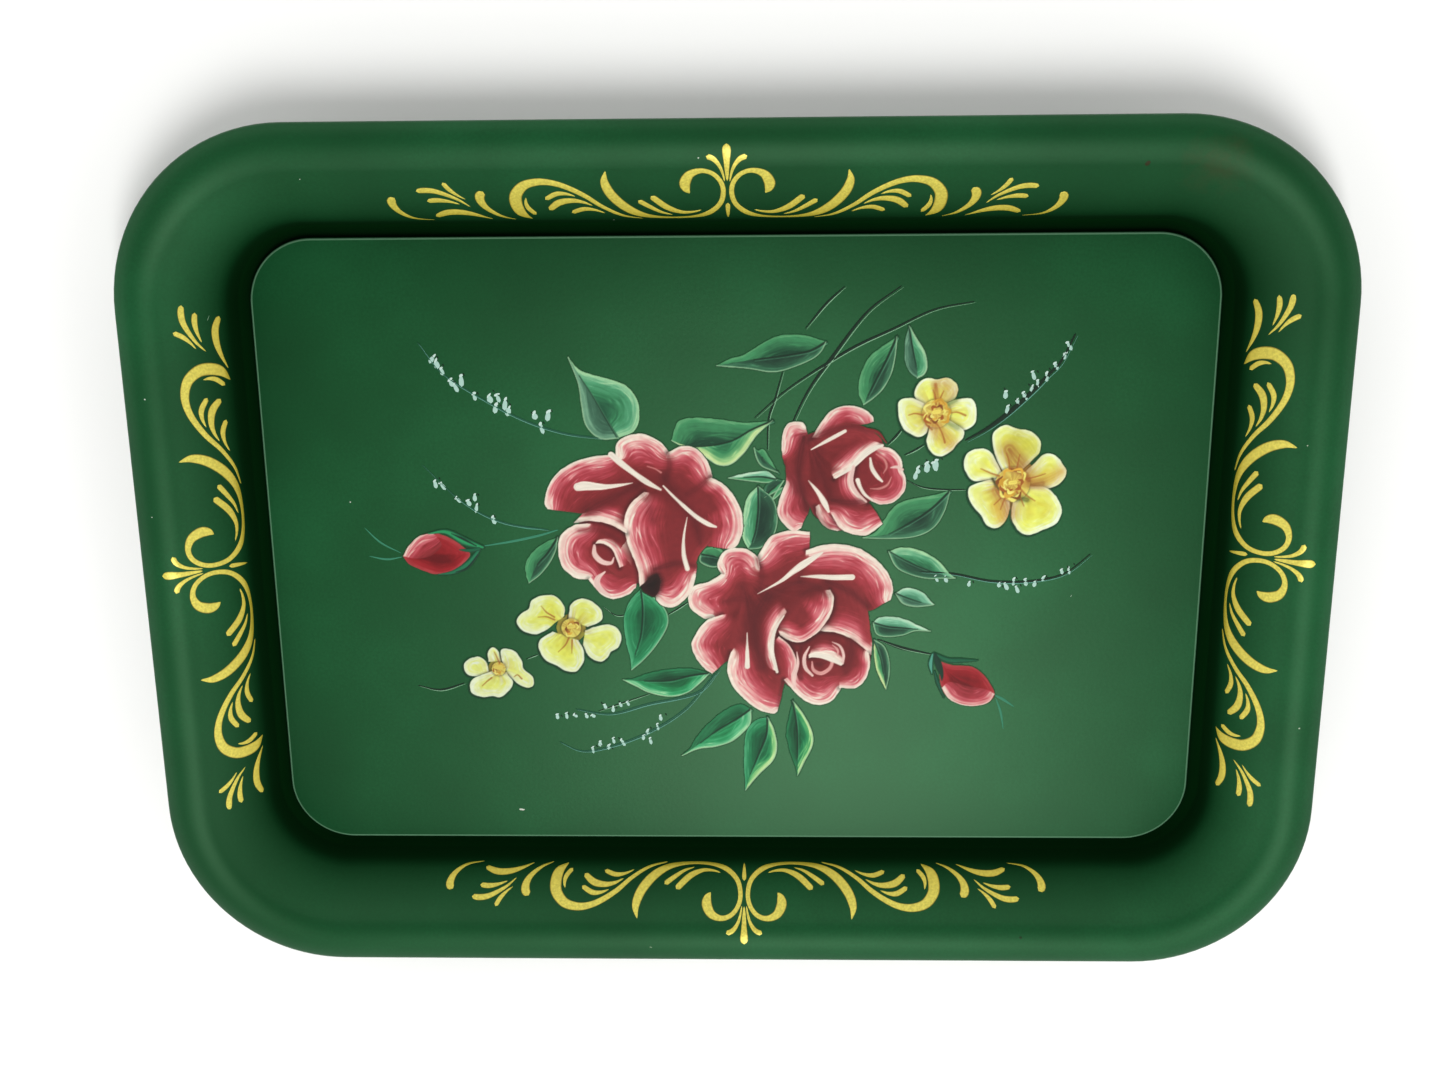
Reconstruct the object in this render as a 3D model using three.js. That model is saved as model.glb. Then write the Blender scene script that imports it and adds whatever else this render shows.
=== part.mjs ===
// A pressed sheet-steel serving tray: one rectangular pan with round corners, whose edge is rolled
// round a steel wire. Millimetres, +Z up, X along the tray. The origin is under the middle of the
// pan, on the surface that the tray stands on.

import * as THREE from "three";
import { mergeGeometries, mergeVertices } from "three/addons/utils/BufferGeometryUtils.js";

// Overall sizes, all to the outside of the rolled edge
const trayLength = 444.5;
const trayWidth = 323.85;
const cornerRadius = 65.5;
const rimWidth = 42; // in plan, from the flat panel to the outside
const crestHeight = 32; // from the standing surface to the highest line of the rim

// The sheet and the wire
const sheet = 0.8;
const wireDiameter = 2.4;
const wireGap = 0.35; // between the wire and the edge rolled round it
const rollTurn = 262; // degrees that the edge turns round the wire, which leaves a slot below

// The panel is a low plateau, and a narrow gutter round it is the land that the tray stands on
const panelLift = 2.6; // from the land's upper face to the panel's
const foldRadius = 1.2; // convex, round the panel
const stepAngle = 72;
const gutterRadius = 1.2; // concave, at the foot of the step
const landWidth = 2;

// The rim rises out of the gutter as a steep wall, bends at a knee into a long straight slope, and
// rounds over to the crest and the lip
const rootRadius = 1.5; // concave, at the foot of the wall
const wallAngle = 80;
const wallLength = 9; // of the steep wall's straight part
const kneeRadius = 7;
const crestRadius = 14;
const lipRadius = 12;
const lipAngle = 35; // below level, where the lip starts to roll

// Facets
const cornerSteps = 9; // in each corner's quarter turn
const foldSteps = 3;
const kneeSteps = 3;
const crestSteps = 4;
const lipSteps = 3;
const rollSteps = 11;
const wireSides = 10;

const rad = THREE.MathUtils.degToRad;
const deg = THREE.MathUtils.radToDeg;
const rollInner = wireDiameter / 2 + wireGap;
const rollOuter = rollInner + sheet;
const panelTop = sheet + panelLift;
const panelCornerRadius = cornerRadius - rimWidth;

// From the crest out to the rolled edge's outermost line
const lipReach = lipRadius * Math.sin(rad(lipAngle)) + rollOuter * (1 - Math.sin(rad(lipAngle)));

// The upper face of the sheet is a path in (r, z), where r runs outwards from the panel's edge. It is
// a list of stations { r, z, heading }, and each of these functions carries it on from its last one.
function run(path, length) {
  const { r, z, heading } = path.at(-1);
  path.push({ r: r + length * Math.cos(heading), z: z + length * Math.sin(heading), heading });
}

// An arc that turns by so many degrees, upwards when they are positive
function bend(path, radius, degrees, steps) {
  const { r, z, heading } = path.at(-1);
  const side = Math.sign(degrees);
  const centre = { r: r - side * radius * Math.sin(heading), z: z + side * radius * Math.cos(heading) };
  for (let i = 1; i <= steps; i++) {
    const turned = heading + rad(degrees) * (i / steps);
    path.push({
      r: centre.r + side * radius * Math.sin(turned),
      z: centre.z - side * radius * Math.cos(turned),
      heading: turned,
    });
  }
  return centre;
}

// A knee, a straight slope and a crest that ends level at (r, z). The slope is the line that touches
// both the knee's circle and the crest's.
function slopeToCrest(path, r, z) {
  const from = path.at(-1);
  const knee = {
    r: from.r + kneeRadius * Math.sin(from.heading),
    z: from.z - kneeRadius * Math.cos(from.heading),
  };
  const apart = { r: r - knee.r, z: z - crestRadius - knee.z };
  const distance = Math.hypot(apart.r, apart.z);
  const slope = Math.atan2(apart.z, apart.r) + Math.asin((crestRadius - kneeRadius) / distance);
  bend(path, kneeRadius, deg(slope - from.heading), kneeSteps);
  run(path, Math.sqrt(distance ** 2 - (crestRadius - kneeRadius) ** 2));
  bend(path, crestRadius, deg(-slope), crestSteps);
}

// The pan's upper face in section, and the middle of the roll at its edge
function panSection() {
  const path = [{ r: 0, z: panelTop, heading: 0 }];
  const foldDrop = foldRadius * (1 - Math.cos(rad(stepAngle)));
  const gutterDrop = gutterRadius * (1 - Math.cos(rad(stepAngle)));
  bend(path, foldRadius, -stepAngle, foldSteps);
  run(path, (panelLift - foldDrop - gutterDrop) / Math.sin(rad(stepAngle)));
  bend(path, gutterRadius, stepAngle, foldSteps);
  run(path, landWidth);
  bend(path, rootRadius, wallAngle, foldSteps);
  run(path, wallLength);
  slopeToCrest(path, rimWidth - lipReach, crestHeight);
  bend(path, lipRadius, -lipAngle, lipSteps);
  const roll = bend(path, rollOuter, -rollTurn, rollSteps);
  return { path, roll };
}

// Facets cut corners, so a turned outline is made this much larger for its flats to be true to size
const flatsToCorners = 1 / Math.cos(rad(90) / cornerSteps / 2);

// Turns a section round one corner's centre, then draws the four quarters apart to the tray's size.
// No column of the turned shape lies on an axis, so each straight side spans two columns.
function aroundTray(points) {
  const segments = 4 * cornerSteps;
  const outline = points.map(({ r, z }) => new THREE.Vector2((panelCornerRadius + r) * flatsToCorners, z));
  const turned = new THREE.LatheGeometry(outline, segments, rad(360) / segments / 2, rad(360));
  turned.rotateX(rad(90));
  const position = turned.getAttribute("position");
  const apart = { x: trayLength / 2 - cornerRadius, y: trayWidth / 2 - cornerRadius };
  const rows = outline.length;
  for (let column = 0; column <= segments; column++) {
    const angle = (rad(360) / segments) * (column + 0.5);
    const shift = { x: apart.x * Math.sign(Math.sin(angle)), y: -apart.y * Math.sign(Math.cos(angle)) };
    for (let row = 0; row < rows; row++) {
      const i = column * rows + row;
      position.setXY(i, position.getX(i) + shift.x, position.getY(i) + shift.y);
    }
  }
  return turned;
}

// The rectangle between the four corners' centres, facing up or down
function panelMiddle(z, up) {
  const length = trayLength - 2 * cornerRadius;
  const plate = new THREE.PlaneGeometry(length, trayWidth - 2 * cornerRadius);
  if (!up) plate.rotateX(rad(180));
  return plate.translate(0, 0, z);
}

// Joins surfaces into one closed body: points that fall together become one, and slivers go
function closedBody(surfaces) {
  const bare = surfaces.map((surface) => {
    surface.deleteAttribute("uv");
    surface.deleteAttribute("normal");
    return surface;
  });
  const body = mergeVertices(mergeGeometries(bare), 1e-3);
  const index = body.index.array;
  const kept = [];
  for (let i = 0; i < index.length; i += 3) {
    const [a, b, c] = index.slice(i, i + 3);
    if (a !== b && b !== c && c !== a) kept.push(a, b, c);
  }
  body.setIndex(kept);
  body.computeVertexNormals();
  return body;
}

// The sheet: the section's upper face out to the rolled edge, then its lower face back
function panBody(path) {
  const lower = path.map(({ r, z, heading }) => ({
    r: r + sheet * Math.sin(heading),
    z: z - sheet * Math.cos(heading),
  }));
  const axis = -panelCornerRadius; // r at the corner's centre
  const middleTop = { r: axis, z: panelTop };
  const middleUnder = { r: axis, z: panelTop - sheet };
  const outline = [middleUnder, ...lower, ...path.toReversed(), middleTop];
  const plates = [panelMiddle(panelTop, true), panelMiddle(panelTop - sheet, false)];
  return closedBody([aroundTray(outline), ...plates]);
}

// The wire is one ring through the middle of the roll
function wireBody(roll) {
  const section = Array.from({ length: wireSides + 1 }, (_, i) => {
    const angle = (rad(360) * (i % wireSides)) / wireSides;
    const radius = wireDiameter / 2;
    return { r: roll.r + radius * Math.cos(angle), z: roll.z + radius * Math.sin(angle) };
  });
  return closedBody([aroundTray(section)]);
}

function piece(name, geometry, finish) {
  const mesh = new THREE.Mesh(geometry, new THREE.MeshStandardMaterial(finish));
  mesh.name = name;
  return mesh;
}

const { path, roll } = panSection();
const tray = new THREE.Group();
tray.add(piece("tray_pan", panBody(path), { color: "#1f5a36", roughness: 0.45, metalness: 0 }));
tray.add(piece("rim_wire", wireBody(roll), { color: "#8d908c", roughness: 0.35, metalness: 1 }));

export default tray;
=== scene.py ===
# A tole-painted steel serving tray: one pressed and enamelled pan, a wire in its rolled edge,
# gold scrolls on the rim and a bouquet of roses on the panel, all in brushed paint.
import bmesh
import bpy
import numpy as np
from mathutils import Matrix, Vector


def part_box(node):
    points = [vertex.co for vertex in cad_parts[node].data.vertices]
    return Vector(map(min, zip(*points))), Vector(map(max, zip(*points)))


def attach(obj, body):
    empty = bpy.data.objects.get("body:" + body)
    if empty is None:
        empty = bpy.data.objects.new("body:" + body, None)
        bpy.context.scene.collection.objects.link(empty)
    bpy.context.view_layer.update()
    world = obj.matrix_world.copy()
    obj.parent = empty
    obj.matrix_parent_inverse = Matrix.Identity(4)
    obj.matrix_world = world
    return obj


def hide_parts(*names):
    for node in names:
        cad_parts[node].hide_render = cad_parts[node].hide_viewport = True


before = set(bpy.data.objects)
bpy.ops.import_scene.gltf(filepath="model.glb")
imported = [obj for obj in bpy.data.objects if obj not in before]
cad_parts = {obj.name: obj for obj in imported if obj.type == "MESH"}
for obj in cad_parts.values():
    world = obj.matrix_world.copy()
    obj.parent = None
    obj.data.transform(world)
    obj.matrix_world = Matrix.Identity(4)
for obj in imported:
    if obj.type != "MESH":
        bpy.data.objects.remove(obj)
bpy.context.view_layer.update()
mm = 0.001  # everything below is measured in millimetres and put into the mesh in metres


def sRgb(hexColour):
    return np.array([int(hexColour[i:i + 2], 16) for i in (1, 3, 5)]) / 255


def linear(value):
    # sRGB values to the linear ones that shaders take
    return np.where(value <= 0.04045, value / 12.92, ((value + 0.055) / 1.055) ** 2.4)


def rgba(hexColour):
    return (*linear(sRgb(hexColour)), 1.0)


def addNode(tree, kind, settings=None, links=None, **properties):
    # A node with its properties, its sockets' values, and its links from other nodes' outputs
    node = tree.nodes.new(kind)
    for name, value in properties.items():
        setattr(node, name, value)
    for name, value in (settings or {}).items():
        node.inputs[name].default_value = value
    for name, source in (links or {}).items():
        tree.links.new(source, node.inputs[name])
    return node


def newMaterial(name):
    material = bpy.data.materials.new(name)
    material.use_nodes = True
    material.node_tree.nodes.clear()
    return material, material.node_tree


def finishMaterial(tree, shader):
    addNode(tree, "ShaderNodeOutputMaterial", links={"Surface": shader.outputs["BSDF"]})


def setRamp(node, stops, interpolation="LINEAR"):
    ramp = node.color_ramp
    ramp.interpolation = interpolation
    while len(ramp.elements) < len(stops):
        ramp.elements.new(0.5)
    for element, (place, colour) in zip(ramp.elements, stops):
        element.position = place
        element.color = rgba(colour)


def addPiece(name, points, faces, material, attributes=None, flatMap=None):
    # Points in millimetres; an attribute has one value or one colour for each point; flatMap lays
    # the piece out flat for baking, as two coordinates in millimetres for each point
    mesh = bpy.data.meshes.new(name)
    mesh.from_pydata(np.asarray(points) * mm, [], np.asarray(faces))
    mesh.shade_smooth()
    for key, values in (attributes or {}).items():
        values = np.asarray(values, np.float32)
        kind, field = ("FLOAT", "value") if values.ndim == 1 else ("FLOAT_COLOR", "color")
        layer = mesh.attributes.new(key, kind, "POINT")
        layer.data.foreach_set(field, values.ravel())
    if flatMap is not None:
        corner = np.empty(len(mesh.loops), np.int32)
        mesh.loops.foreach_get("vertex_index", corner)
        low, high = flatMap.min(0), flatMap.max(0)
        fitted = 0.01 + 0.98 * (flatMap - low) / (high - low)
        layer = mesh.uv_layers.new(name="OFBake")
        layer.uv.foreach_set("vector", fitted[corner].astype(np.float32).ravel())
    piece = bpy.data.objects.new(name, mesh)
    bpy.context.scene.collection.objects.link(piece)
    mesh.materials.append(material)
    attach(piece, "root")
    return piece


def gridFaces(rows, columns, wrapColumns=False, offset=0):
    # Quads of a grid of points stored row by row, seen anticlockwise when columns run right and rows up
    row = np.arange(rows - 1)[:, None]
    column = np.arange(columns if wrapColumns else columns - 1)[None, :]
    after = (column + 1) % columns
    here, above = row * columns, (row + 1) * columns
    return offset + np.stack([here + column, here + after, above + after, above + column], -1).reshape(-1, 4)


def spline(points, samples):
    # A Catmull-Rom curve through the points, resampled to even steps of length
    points = np.asarray(points, float)
    if len(points) == 2:
        return points[0] + (points[1] - points[0]) * np.linspace(0, 1, samples)[:, None]
    padded = np.vstack([2 * points[0] - points[1], points, 2 * points[-1] - points[-2]])
    t = np.linspace(0, len(points) - 1, samples * 4)
    i = np.minimum(t.astype(int), len(points) - 2)
    f = (t - i)[:, None]
    a, b, c, d = (padded[i + k] for k in range(4))
    curve = b + 0.5 * f * (c - a + f * (2 * a - 5 * b + 4 * c - d + f * (3 * (b - c) + d - a)))
    steps = np.r_[0, np.cumsum(np.linalg.norm(np.diff(curve, axis=0), axis=1))]
    even = np.linspace(0, steps[-1], samples)
    return np.stack([np.interp(even, steps, curve[:, k]) for k in range(points.shape[1])], -1)


# The pressed pan, in millimetres and degrees. It has the CAD model's section, except that its gutter
# is one round sweep where the CAD has a flat land between two bends.
pan = {
    "rimWidth": 42.0, "cornerRadius": 65.5, "sheet": 0.8,
    "wireDiameter": 2.4, "wireGap": 0.35, "rollTurn": 262,
    "panelLift": 2.6, "foldRadius": 1.2, "stepAngle": 72, "gutterRadius": 1.6,
    "rootRadius": 3.1, "wallAngle": 80, "wallLength": 7.65, "kneeRadius": 7.0, "crestRadius": 14.0,
    "lipRadius": 12.0, "lipAngle": 35,
    "paintRoom": 0.09,  # the height left on the crest for the gold paint
    "cornerSteps": 24, "sideSteps": 10, "endSteps": 8,
    # where the painted shade of the gutter lies, as (developed distance from the panel's edge, strength)
    "gutterShade": ((0.7, 0.0), (1.6, 0.9), (6.0, 1.0), (14.0, 0.92), (19.0, 0.68), (25.0, 0.36), (31.0, 0.16),
              (38.0, 0.0)),
    "rubbed": ((41.0, 0.0), (47.0, 1.0), (54.0, 1.0), (60.0, 0.0)),
    # where the pale painted highlight along the panel's edge lies
    "edgeHighlight": ((0.0, 0.0), (0.25, 1.0), (0.6, 1.0), (1.1, 0.0)),
}
panLow, panHigh = (np.array(corner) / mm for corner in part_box("tray_pan"))
halfLength, halfWidth = (panHigh - panLow)[:2] / 2
crestHeight = panHigh[2] - pan["paintRoom"]
panelTop = pan["sheet"] + pan["panelLift"]
halfPanel = np.array([halfLength, halfWidth]) - pan["rimWidth"]
cornerCentre = np.array([halfLength, halfWidth]) - pan["cornerRadius"]


def panSection():
    # The sheet's upper face as (r, z, heading), r outwards from the panel's edge: arcs and straight runs
    # one after another, where the slope is the common tangent of the knee's and the crest's circles
    rad = np.radians
    path = [np.array([[0.0, panelTop, 0.0]])]

    def run(length, steps=6):
        r, z, heading = path[-1][-1]
        t = np.linspace(0, length, steps)[1:, None]
        path.append([r, z, heading] + t * [np.cos(heading), np.sin(heading), 0])

    def bend(radius, angle, steps=9):
        r, z, heading = path[-1][-1]
        side = np.sign(angle)
        turned = heading + np.linspace(0, angle, steps)[1:]
        centreR, centreZ = r - side * radius * np.sin(heading), z + side * radius * np.cos(heading)
        path.append(np.stack([centreR + side * radius * np.sin(turned),
                              centreZ - side * radius * np.cos(turned), turned], -1))

    step, wall, lip = rad(pan["stepAngle"]), rad(pan["wallAngle"]), rad(pan["lipAngle"])
    rollOuter = pan["wireDiameter"] / 2 + pan["wireGap"] + pan["sheet"]
    bend(pan["foldRadius"], -step)
    drops = (pan["foldRadius"] + pan["gutterRadius"]) * (1 - np.cos(step))
    run((pan["panelLift"] - drops) / np.sin(step), 3)
    bend(pan["gutterRadius"], step)
    bend(pan["rootRadius"], wall, 14)
    run(pan["wallLength"])
    r, z, heading = path[-1][-1]
    lipReach = pan["lipRadius"] * np.sin(lip) + rollOuter * (1 - np.sin(lip))
    apartR = pan["rimWidth"] - lipReach - r - pan["kneeRadius"] * np.sin(heading)
    apartZ = crestHeight - pan["crestRadius"] - z + pan["kneeRadius"] * np.cos(heading)
    distance, wider = np.hypot(apartR, apartZ), pan["crestRadius"] - pan["kneeRadius"]
    slope = np.arctan2(apartZ, apartR) + np.arcsin(wider / distance)
    bend(pan["kneeRadius"], slope - heading, 12)
    run(np.sqrt(distance ** 2 - wider ** 2), 8)
    bend(pan["crestRadius"], -slope, 16)
    bend(pan["lipRadius"], -lip, 10)
    bend(rollOuter, -rad(pan["rollTurn"]), 32)
    return np.vstack(path)


section = panSection()
developed = np.r_[0, np.cumsum(np.hypot(*np.diff(section[:, :2], axis=0).T))]


def outlineAt(r):
    # The rounded rectangle that lies r outside the panel's edge, anticlockwise from the right side's
    # middle: each corner's arc is concentric, and the straight stretches between them are subdivided
    radius = pan["cornerRadius"] - pan["rimWidth"] + r
    quarter = np.linspace(0, np.pi / 2, pan["cornerSteps"] + 1)
    corners = []
    for q, signs in enumerate(((1, 1), (-1, 1), (-1, -1), (1, -1))):
        turn = quarter + q * np.pi / 2
        corners.append(cornerCentre * signs + radius * np.stack([np.cos(turn), np.sin(turn)], -1))
    points = []
    for q, corner in enumerate(corners):
        steps = pan["endSteps"] if q in (1, 3) else pan["sideSteps"]
        t = np.linspace(0, 1, steps + 1)[1:-1, None]
        points += [corner, corner[-1] + (corners[(q + 1) % 4][0] - corner[-1]) * t]
    return np.vstack(points)


def makePan(material):
    sheet = pan["sheet"]
    lower = section[:, :2] + sheet * np.stack([np.sin(section[:, 2]), -np.cos(section[:, 2])], -1)
    skin = np.vstack([lower, section[::-1, :2]])
    columns = len(outlineAt(0))
    points = np.vstack([np.column_stack([outlineAt(r), np.full(columns, z)]) for r, z in skin])
    # Painted shade, which also dulls the enamel: full in the gutter and low on the wall, none on the rim. The
    # crest is rubbed matte by hands, and a pale painted highlight runs along the panel's edge.
    marks = {}
    for mark in ("gutterShade", "rubbed", "edgeHighlight"):
        along = np.interp(developed, *zip(*pan[mark]))
        marks[mark] = np.repeat(np.r_[np.zeros(len(lower)), along[::-1]], columns)
    faces = [gridFaces(len(skin), columns, wrapColumns=True)]
    # The panel's two faces: straight lines across the tray between each point of the upper half of
    # the outline and the one below it, with as many steps as the short sides have
    half = 2 * (pan["cornerSteps"] + 1) + pan["sideSteps"] - 1
    across = np.linspace(0, 1, pan["endSteps"] + 1)[:, None, None]
    top = outlineAt(0.0)[:half][None]
    plate = (top + (top * (1, -1) - top) * across).reshape(-1, 2)
    for height, flip in ((panelTop, True), (panelTop - sheet, False)):
        quads = gridFaces(pan["endSteps"] + 1, half, offset=len(points))
        faces.append(quads[:, ::-1] if not flip else quads)
        points = np.vstack([points, np.column_stack([plate, np.full(len(plate), height)])])
        marks = {mark: np.r_[values, np.zeros(len(plate))] for mark, values in marks.items()}
    piece = addPiece("enamelled_pan", points, np.vstack(faces), material, marks)
    mergeSkins(piece)
    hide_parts("tray_pan")
    return piece


def mergeSkins(piece, distance=0.002):
    # Points that fall together become one, so that the skins close, and faces point outwards
    work = bmesh.new()
    work.from_mesh(piece.data)
    bmesh.ops.remove_doubles(work, verts=work.verts, dist=distance * mm)
    bmesh.ops.recalc_face_normals(work, faces=work.faces)
    gaps = sum(1 for edge in work.edges if len(edge.link_faces) != 2)
    work.to_mesh(piece.data)
    work.free()
    print(f"{piece.name}: {len(piece.data.polygons)} faces, {gaps} open edges")


enamel = {
    # the fourth colour is the painted shade of the gutter and the low wall
    "base": "#0d4726", "lighter": "#13512e", "darker": "#0a4021", "gutterShade": "#02240a", "gloss": "#ccffd2",
    "scuff": "#3a3a22", "scuffPlace": (168, 143, 32), "scuffSize": 26, "scuffShare": 0.55, "flakeSize": 7.0,
    # the pale painted highlight along the panel's edge, and how much of it shows
    "edge": "#86b091", "edgeHighlightShare": 0.6,
    # in the gutter's painted shade the enamel is also made nearly matte and less shiny
    "roughness": 0.44, "rubbedRoughness": 0.54, "gutterRoughness": 0.95,
    "specular": 0.5, "gutterSpecular": 0.08,
    "patchSize": 70.0, "mottleSize": 1.1, "peelSize": 1.6, "peel": 0.05,
}
mixFactor, mixFirst, mixSecond, mixColour = 0, 6, 7, 2  # a colour Mix node's sockets, in and out


def scaleFor(sizeMm):
    # Noise texture scale whose features are about this many millimetres across
    return 1000.0 / sizeMm


def enamelColour(tree, coordinates):
    # Uneven spraying: wide soft patches and a fine mottle
    patch = addNode(tree, "ShaderNodeTexNoise", {"Scale": scaleFor(enamel["patchSize"]), "Detail": 3.0},
                    {"Vector": coordinates})
    mottle = addNode(tree, "ShaderNodeTexNoise", {"Scale": scaleFor(enamel["mottleSize"]), "Detail": 2.0},
                     {"Vector": coordinates})
    both = addNode(tree, "ShaderNodeMath", {1: 0.35}, {0: mottle.outputs["Fac"], 2: patch.outputs["Fac"]},
                   operation="MULTIPLY_ADD")
    ramp = addNode(tree, "ShaderNodeValToRGB", links={"Fac": both.outputs[0]})
    setRamp(ramp, [(0.45, enamel["darker"]), (0.68, enamel["base"]), (0.9, enamel["lighter"])])
    # Painted shade: the colour darkens to a near-black green in the gutter and low on the wall
    gutterShade = addNode(tree, "ShaderNodeAttribute", attribute_name="gutterShade")
    gutterShaded = addNode(tree, "ShaderNodeMix", {mixSecond: rgba(enamel["gutterShade"])},
                    {mixFactor: gutterShade.outputs["Fac"], mixFirst: ramp.outputs["Color"]}, data_type="RGBA")
    # A thumb-sized brown scuff where the back right corner of the rim has been held and knocked
    scuffPlace = [place * mm for place in enamel["scuffPlace"]]
    away = addNode(tree, "ShaderNodeVectorMath", {1: scuffPlace}, {0: coordinates}, operation="DISTANCE")
    near = addNode(tree, "ShaderNodeMapRange", {"From Min": enamel["scuffSize"] * mm, "From Max": 0.0},
                   {"Value": away.outputs["Value"]})
    flakes = addNode(tree, "ShaderNodeTexNoise",
                     {"Scale": scaleFor(enamel["flakeSize"]), "Detail": 5.0, "Roughness": 0.7},
                     {"Vector": coordinates})
    rubbed = addNode(tree, "ShaderNodeMath", links={0: near.outputs["Result"], 1: flakes.outputs["Fac"]},
                     operation="MULTIPLY")
    shown = addNode(tree, "ShaderNodeMapRange",
                    {"From Min": 0.22, "From Max": 0.5, "To Max": enamel["scuffShare"]},
                    {"Value": rubbed.outputs[0]})
    scuffed = addNode(tree, "ShaderNodeMix", {mixSecond: rgba(enamel["scuff"])},
                      {mixFactor: shown.outputs["Result"], mixFirst: gutterShaded.outputs[mixColour]},
                      data_type="RGBA")
    return scuffed.outputs[mixColour]


def enamelPeel(tree, coordinates):
    # Orange peel: the sprayed coat's faint ripple, which breaks the highlight's edge
    peel = addNode(tree, "ShaderNodeTexNoise", {"Scale": scaleFor(enamel["peelSize"]), "Detail": 1.5},
                   {"Vector": coordinates})
    return addNode(tree, "ShaderNodeBump", {"Strength": enamel["peel"], "Distance": 0.0004},
                   {"Height": peel.outputs["Fac"]}).outputs["Normal"]


def enamelMaterial():
    # Baked alkyd enamel on steel, sprayed: an even deep green with a broad semi-matte highlight, which
    # hands have rubbed duller along the crest; painted shade darkens the gutter and takes its shine away,
    # and a pale painted highlight runs along the panel's edge
    material, tree = newMaterial("baked_green_enamel")
    place = addNode(tree, "ShaderNodeTexCoord").outputs["Object"]
    # the gutter's painted shade, which also sets the roughness and the shine below
    gutterShade = addNode(tree, "ShaderNodeAttribute", attribute_name="gutterShade")
    rubbed = addNode(tree, "ShaderNodeAttribute", attribute_name="rubbed")
    edge = addNode(tree, "ShaderNodeAttribute", attribute_name="edgeHighlight")
    handled = addNode(tree, "ShaderNodeMapRange",
                      {"To Min": enamel["roughness"], "To Max": enamel["rubbedRoughness"]},
                      {"Value": rubbed.outputs["Fac"]})
    dull = addNode(tree, "ShaderNodeMapRange", {"To Max": enamel["gutterRoughness"]},
                   {"Value": gutterShade.outputs["Fac"], "To Min": handled.outputs["Result"]})
    shine = addNode(tree, "ShaderNodeMapRange",
                    {"To Min": enamel["specular"], "To Max": enamel["gutterSpecular"]},
                    {"Value": gutterShade.outputs["Fac"]})
    # A pale painted highlight along the panel's edge
    highlightAmount = addNode(tree, "ShaderNodeMath", {1: enamel["edgeHighlightShare"]}, {0: edge.outputs["Fac"]},
                   operation="MULTIPLY")
    highlighted = addNode(tree, "ShaderNodeMix", {mixSecond: rgba(enamel["edge"])},
                   {mixFactor: highlightAmount.outputs[0], mixFirst: enamelColour(tree, place)}, data_type="RGBA")
    shader = addNode(tree, "ShaderNodeBsdfPrincipled", {"IOR": 1.5, "Specular Tint": rgba(enamel["gloss"])},
                     {"Base Color": highlighted.outputs[mixColour], "Normal": enamelPeel(tree, place),
                      "Roughness": dull.outputs["Result"], "Specular IOR Level": shine.outputs["Result"]})
    finishMaterial(tree, shader)
    return material


def wireMaterial():
    # Drawn steel wire: grey, with fine die lines that stretch the highlight along it
    material, tree = newMaterial("drawn_steel_wire")
    place = addNode(tree, "ShaderNodeTexCoord").outputs["Object"]
    lines = addNode(tree, "ShaderNodeTexNoise", {"Scale": scaleFor(0.5), "Detail": 2.0}, {"Vector": place})
    tone = addNode(tree, "ShaderNodeValToRGB", links={"Fac": lines.outputs["Fac"]})
    setRamp(tone, [(0.35, "#7d7f7b"), (0.7, "#a9aba6")])
    shader = addNode(tree, "ShaderNodeBsdfPrincipled", {"Roughness": 0.35, "Metallic": 1.0},
                     {"Base Color": tone.outputs["Color"]})
    finishMaterial(tree, shader)
    return material


enamelled = enamelMaterial()
makePan(enamelled)
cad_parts["rim_wire"].data.materials.clear()
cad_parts["rim_wire"].data.materials.append(wireMaterial())
print("pan and wire made")


def softNoise(u, v, seed):
    # Value noise from 0 to 1: random numbers on a lattice, eased from one to the next
    table = np.random.default_rng(seed).random((64, 64))
    iu, iv = np.floor(u).astype(int), np.floor(v).astype(int)
    fu, fv = u - iu, v - iv
    fu, fv = fu * fu * (3 - 2 * fu), fv * fv * (3 - 2 * fv)
    near = table[iu % 64, iv % 64] * (1 - fu) + table[(iu + 1) % 64, iv % 64] * fu
    far = table[iu % 64, (iv + 1) % 64] * (1 - fu) + table[(iu + 1) % 64, (iv + 1) % 64] * fu
    return near * (1 - fv) + far * fv


# The bouquet's paint film: each flower is laid on a fine grid of points, brush load by brush load
paint = {
    "step": 0.26, "fineStep": 0.25,  # between the grid's points, on roses and leaves and on small flowers
    "film": 0.02, "thickness": 0.07,  # the least a layer stands up, and what a loaded brush leaves
    "softEdge": 0.35, "wobble": 0.25,  # how wide a stroke's edge is, and how far it strays
    "shadow": 0.42,  # how much darker the paint below is beside a petal's rim
    "ridge": 2.5,  # how far in from the rim the paint stands higher
    "dimmed": 0.77,  # what old varnish leaves of every colour
    "roughness": 0.6, "specular": 0.32,
}


def newCanvas(low, high, step=paint["step"]):
    x, y = np.meshgrid(np.arange(low[0], high[0], step), np.arange(low[1], high[1], step))
    return {"x": x, "y": y, "colour": np.zeros((*x.shape, 3)), "cover": np.zeros(x.shape),
            "relief": np.zeros(x.shape)}


def window(canvas, outline, margin):
    # The part of the canvas round an outline, so that a small stroke stays quick
    (lowX, lowY), (highX, highY) = outline[:, :2].min(0) - margin, outline[:, :2].max(0) + margin
    columns = (canvas["x"][0] >= lowX) & (canvas["x"][0] <= highX)
    rows = (canvas["y"][:, 0] >= lowY) & (canvas["y"][:, 0] <= highY)
    return np.ix_(rows, columns)


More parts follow.
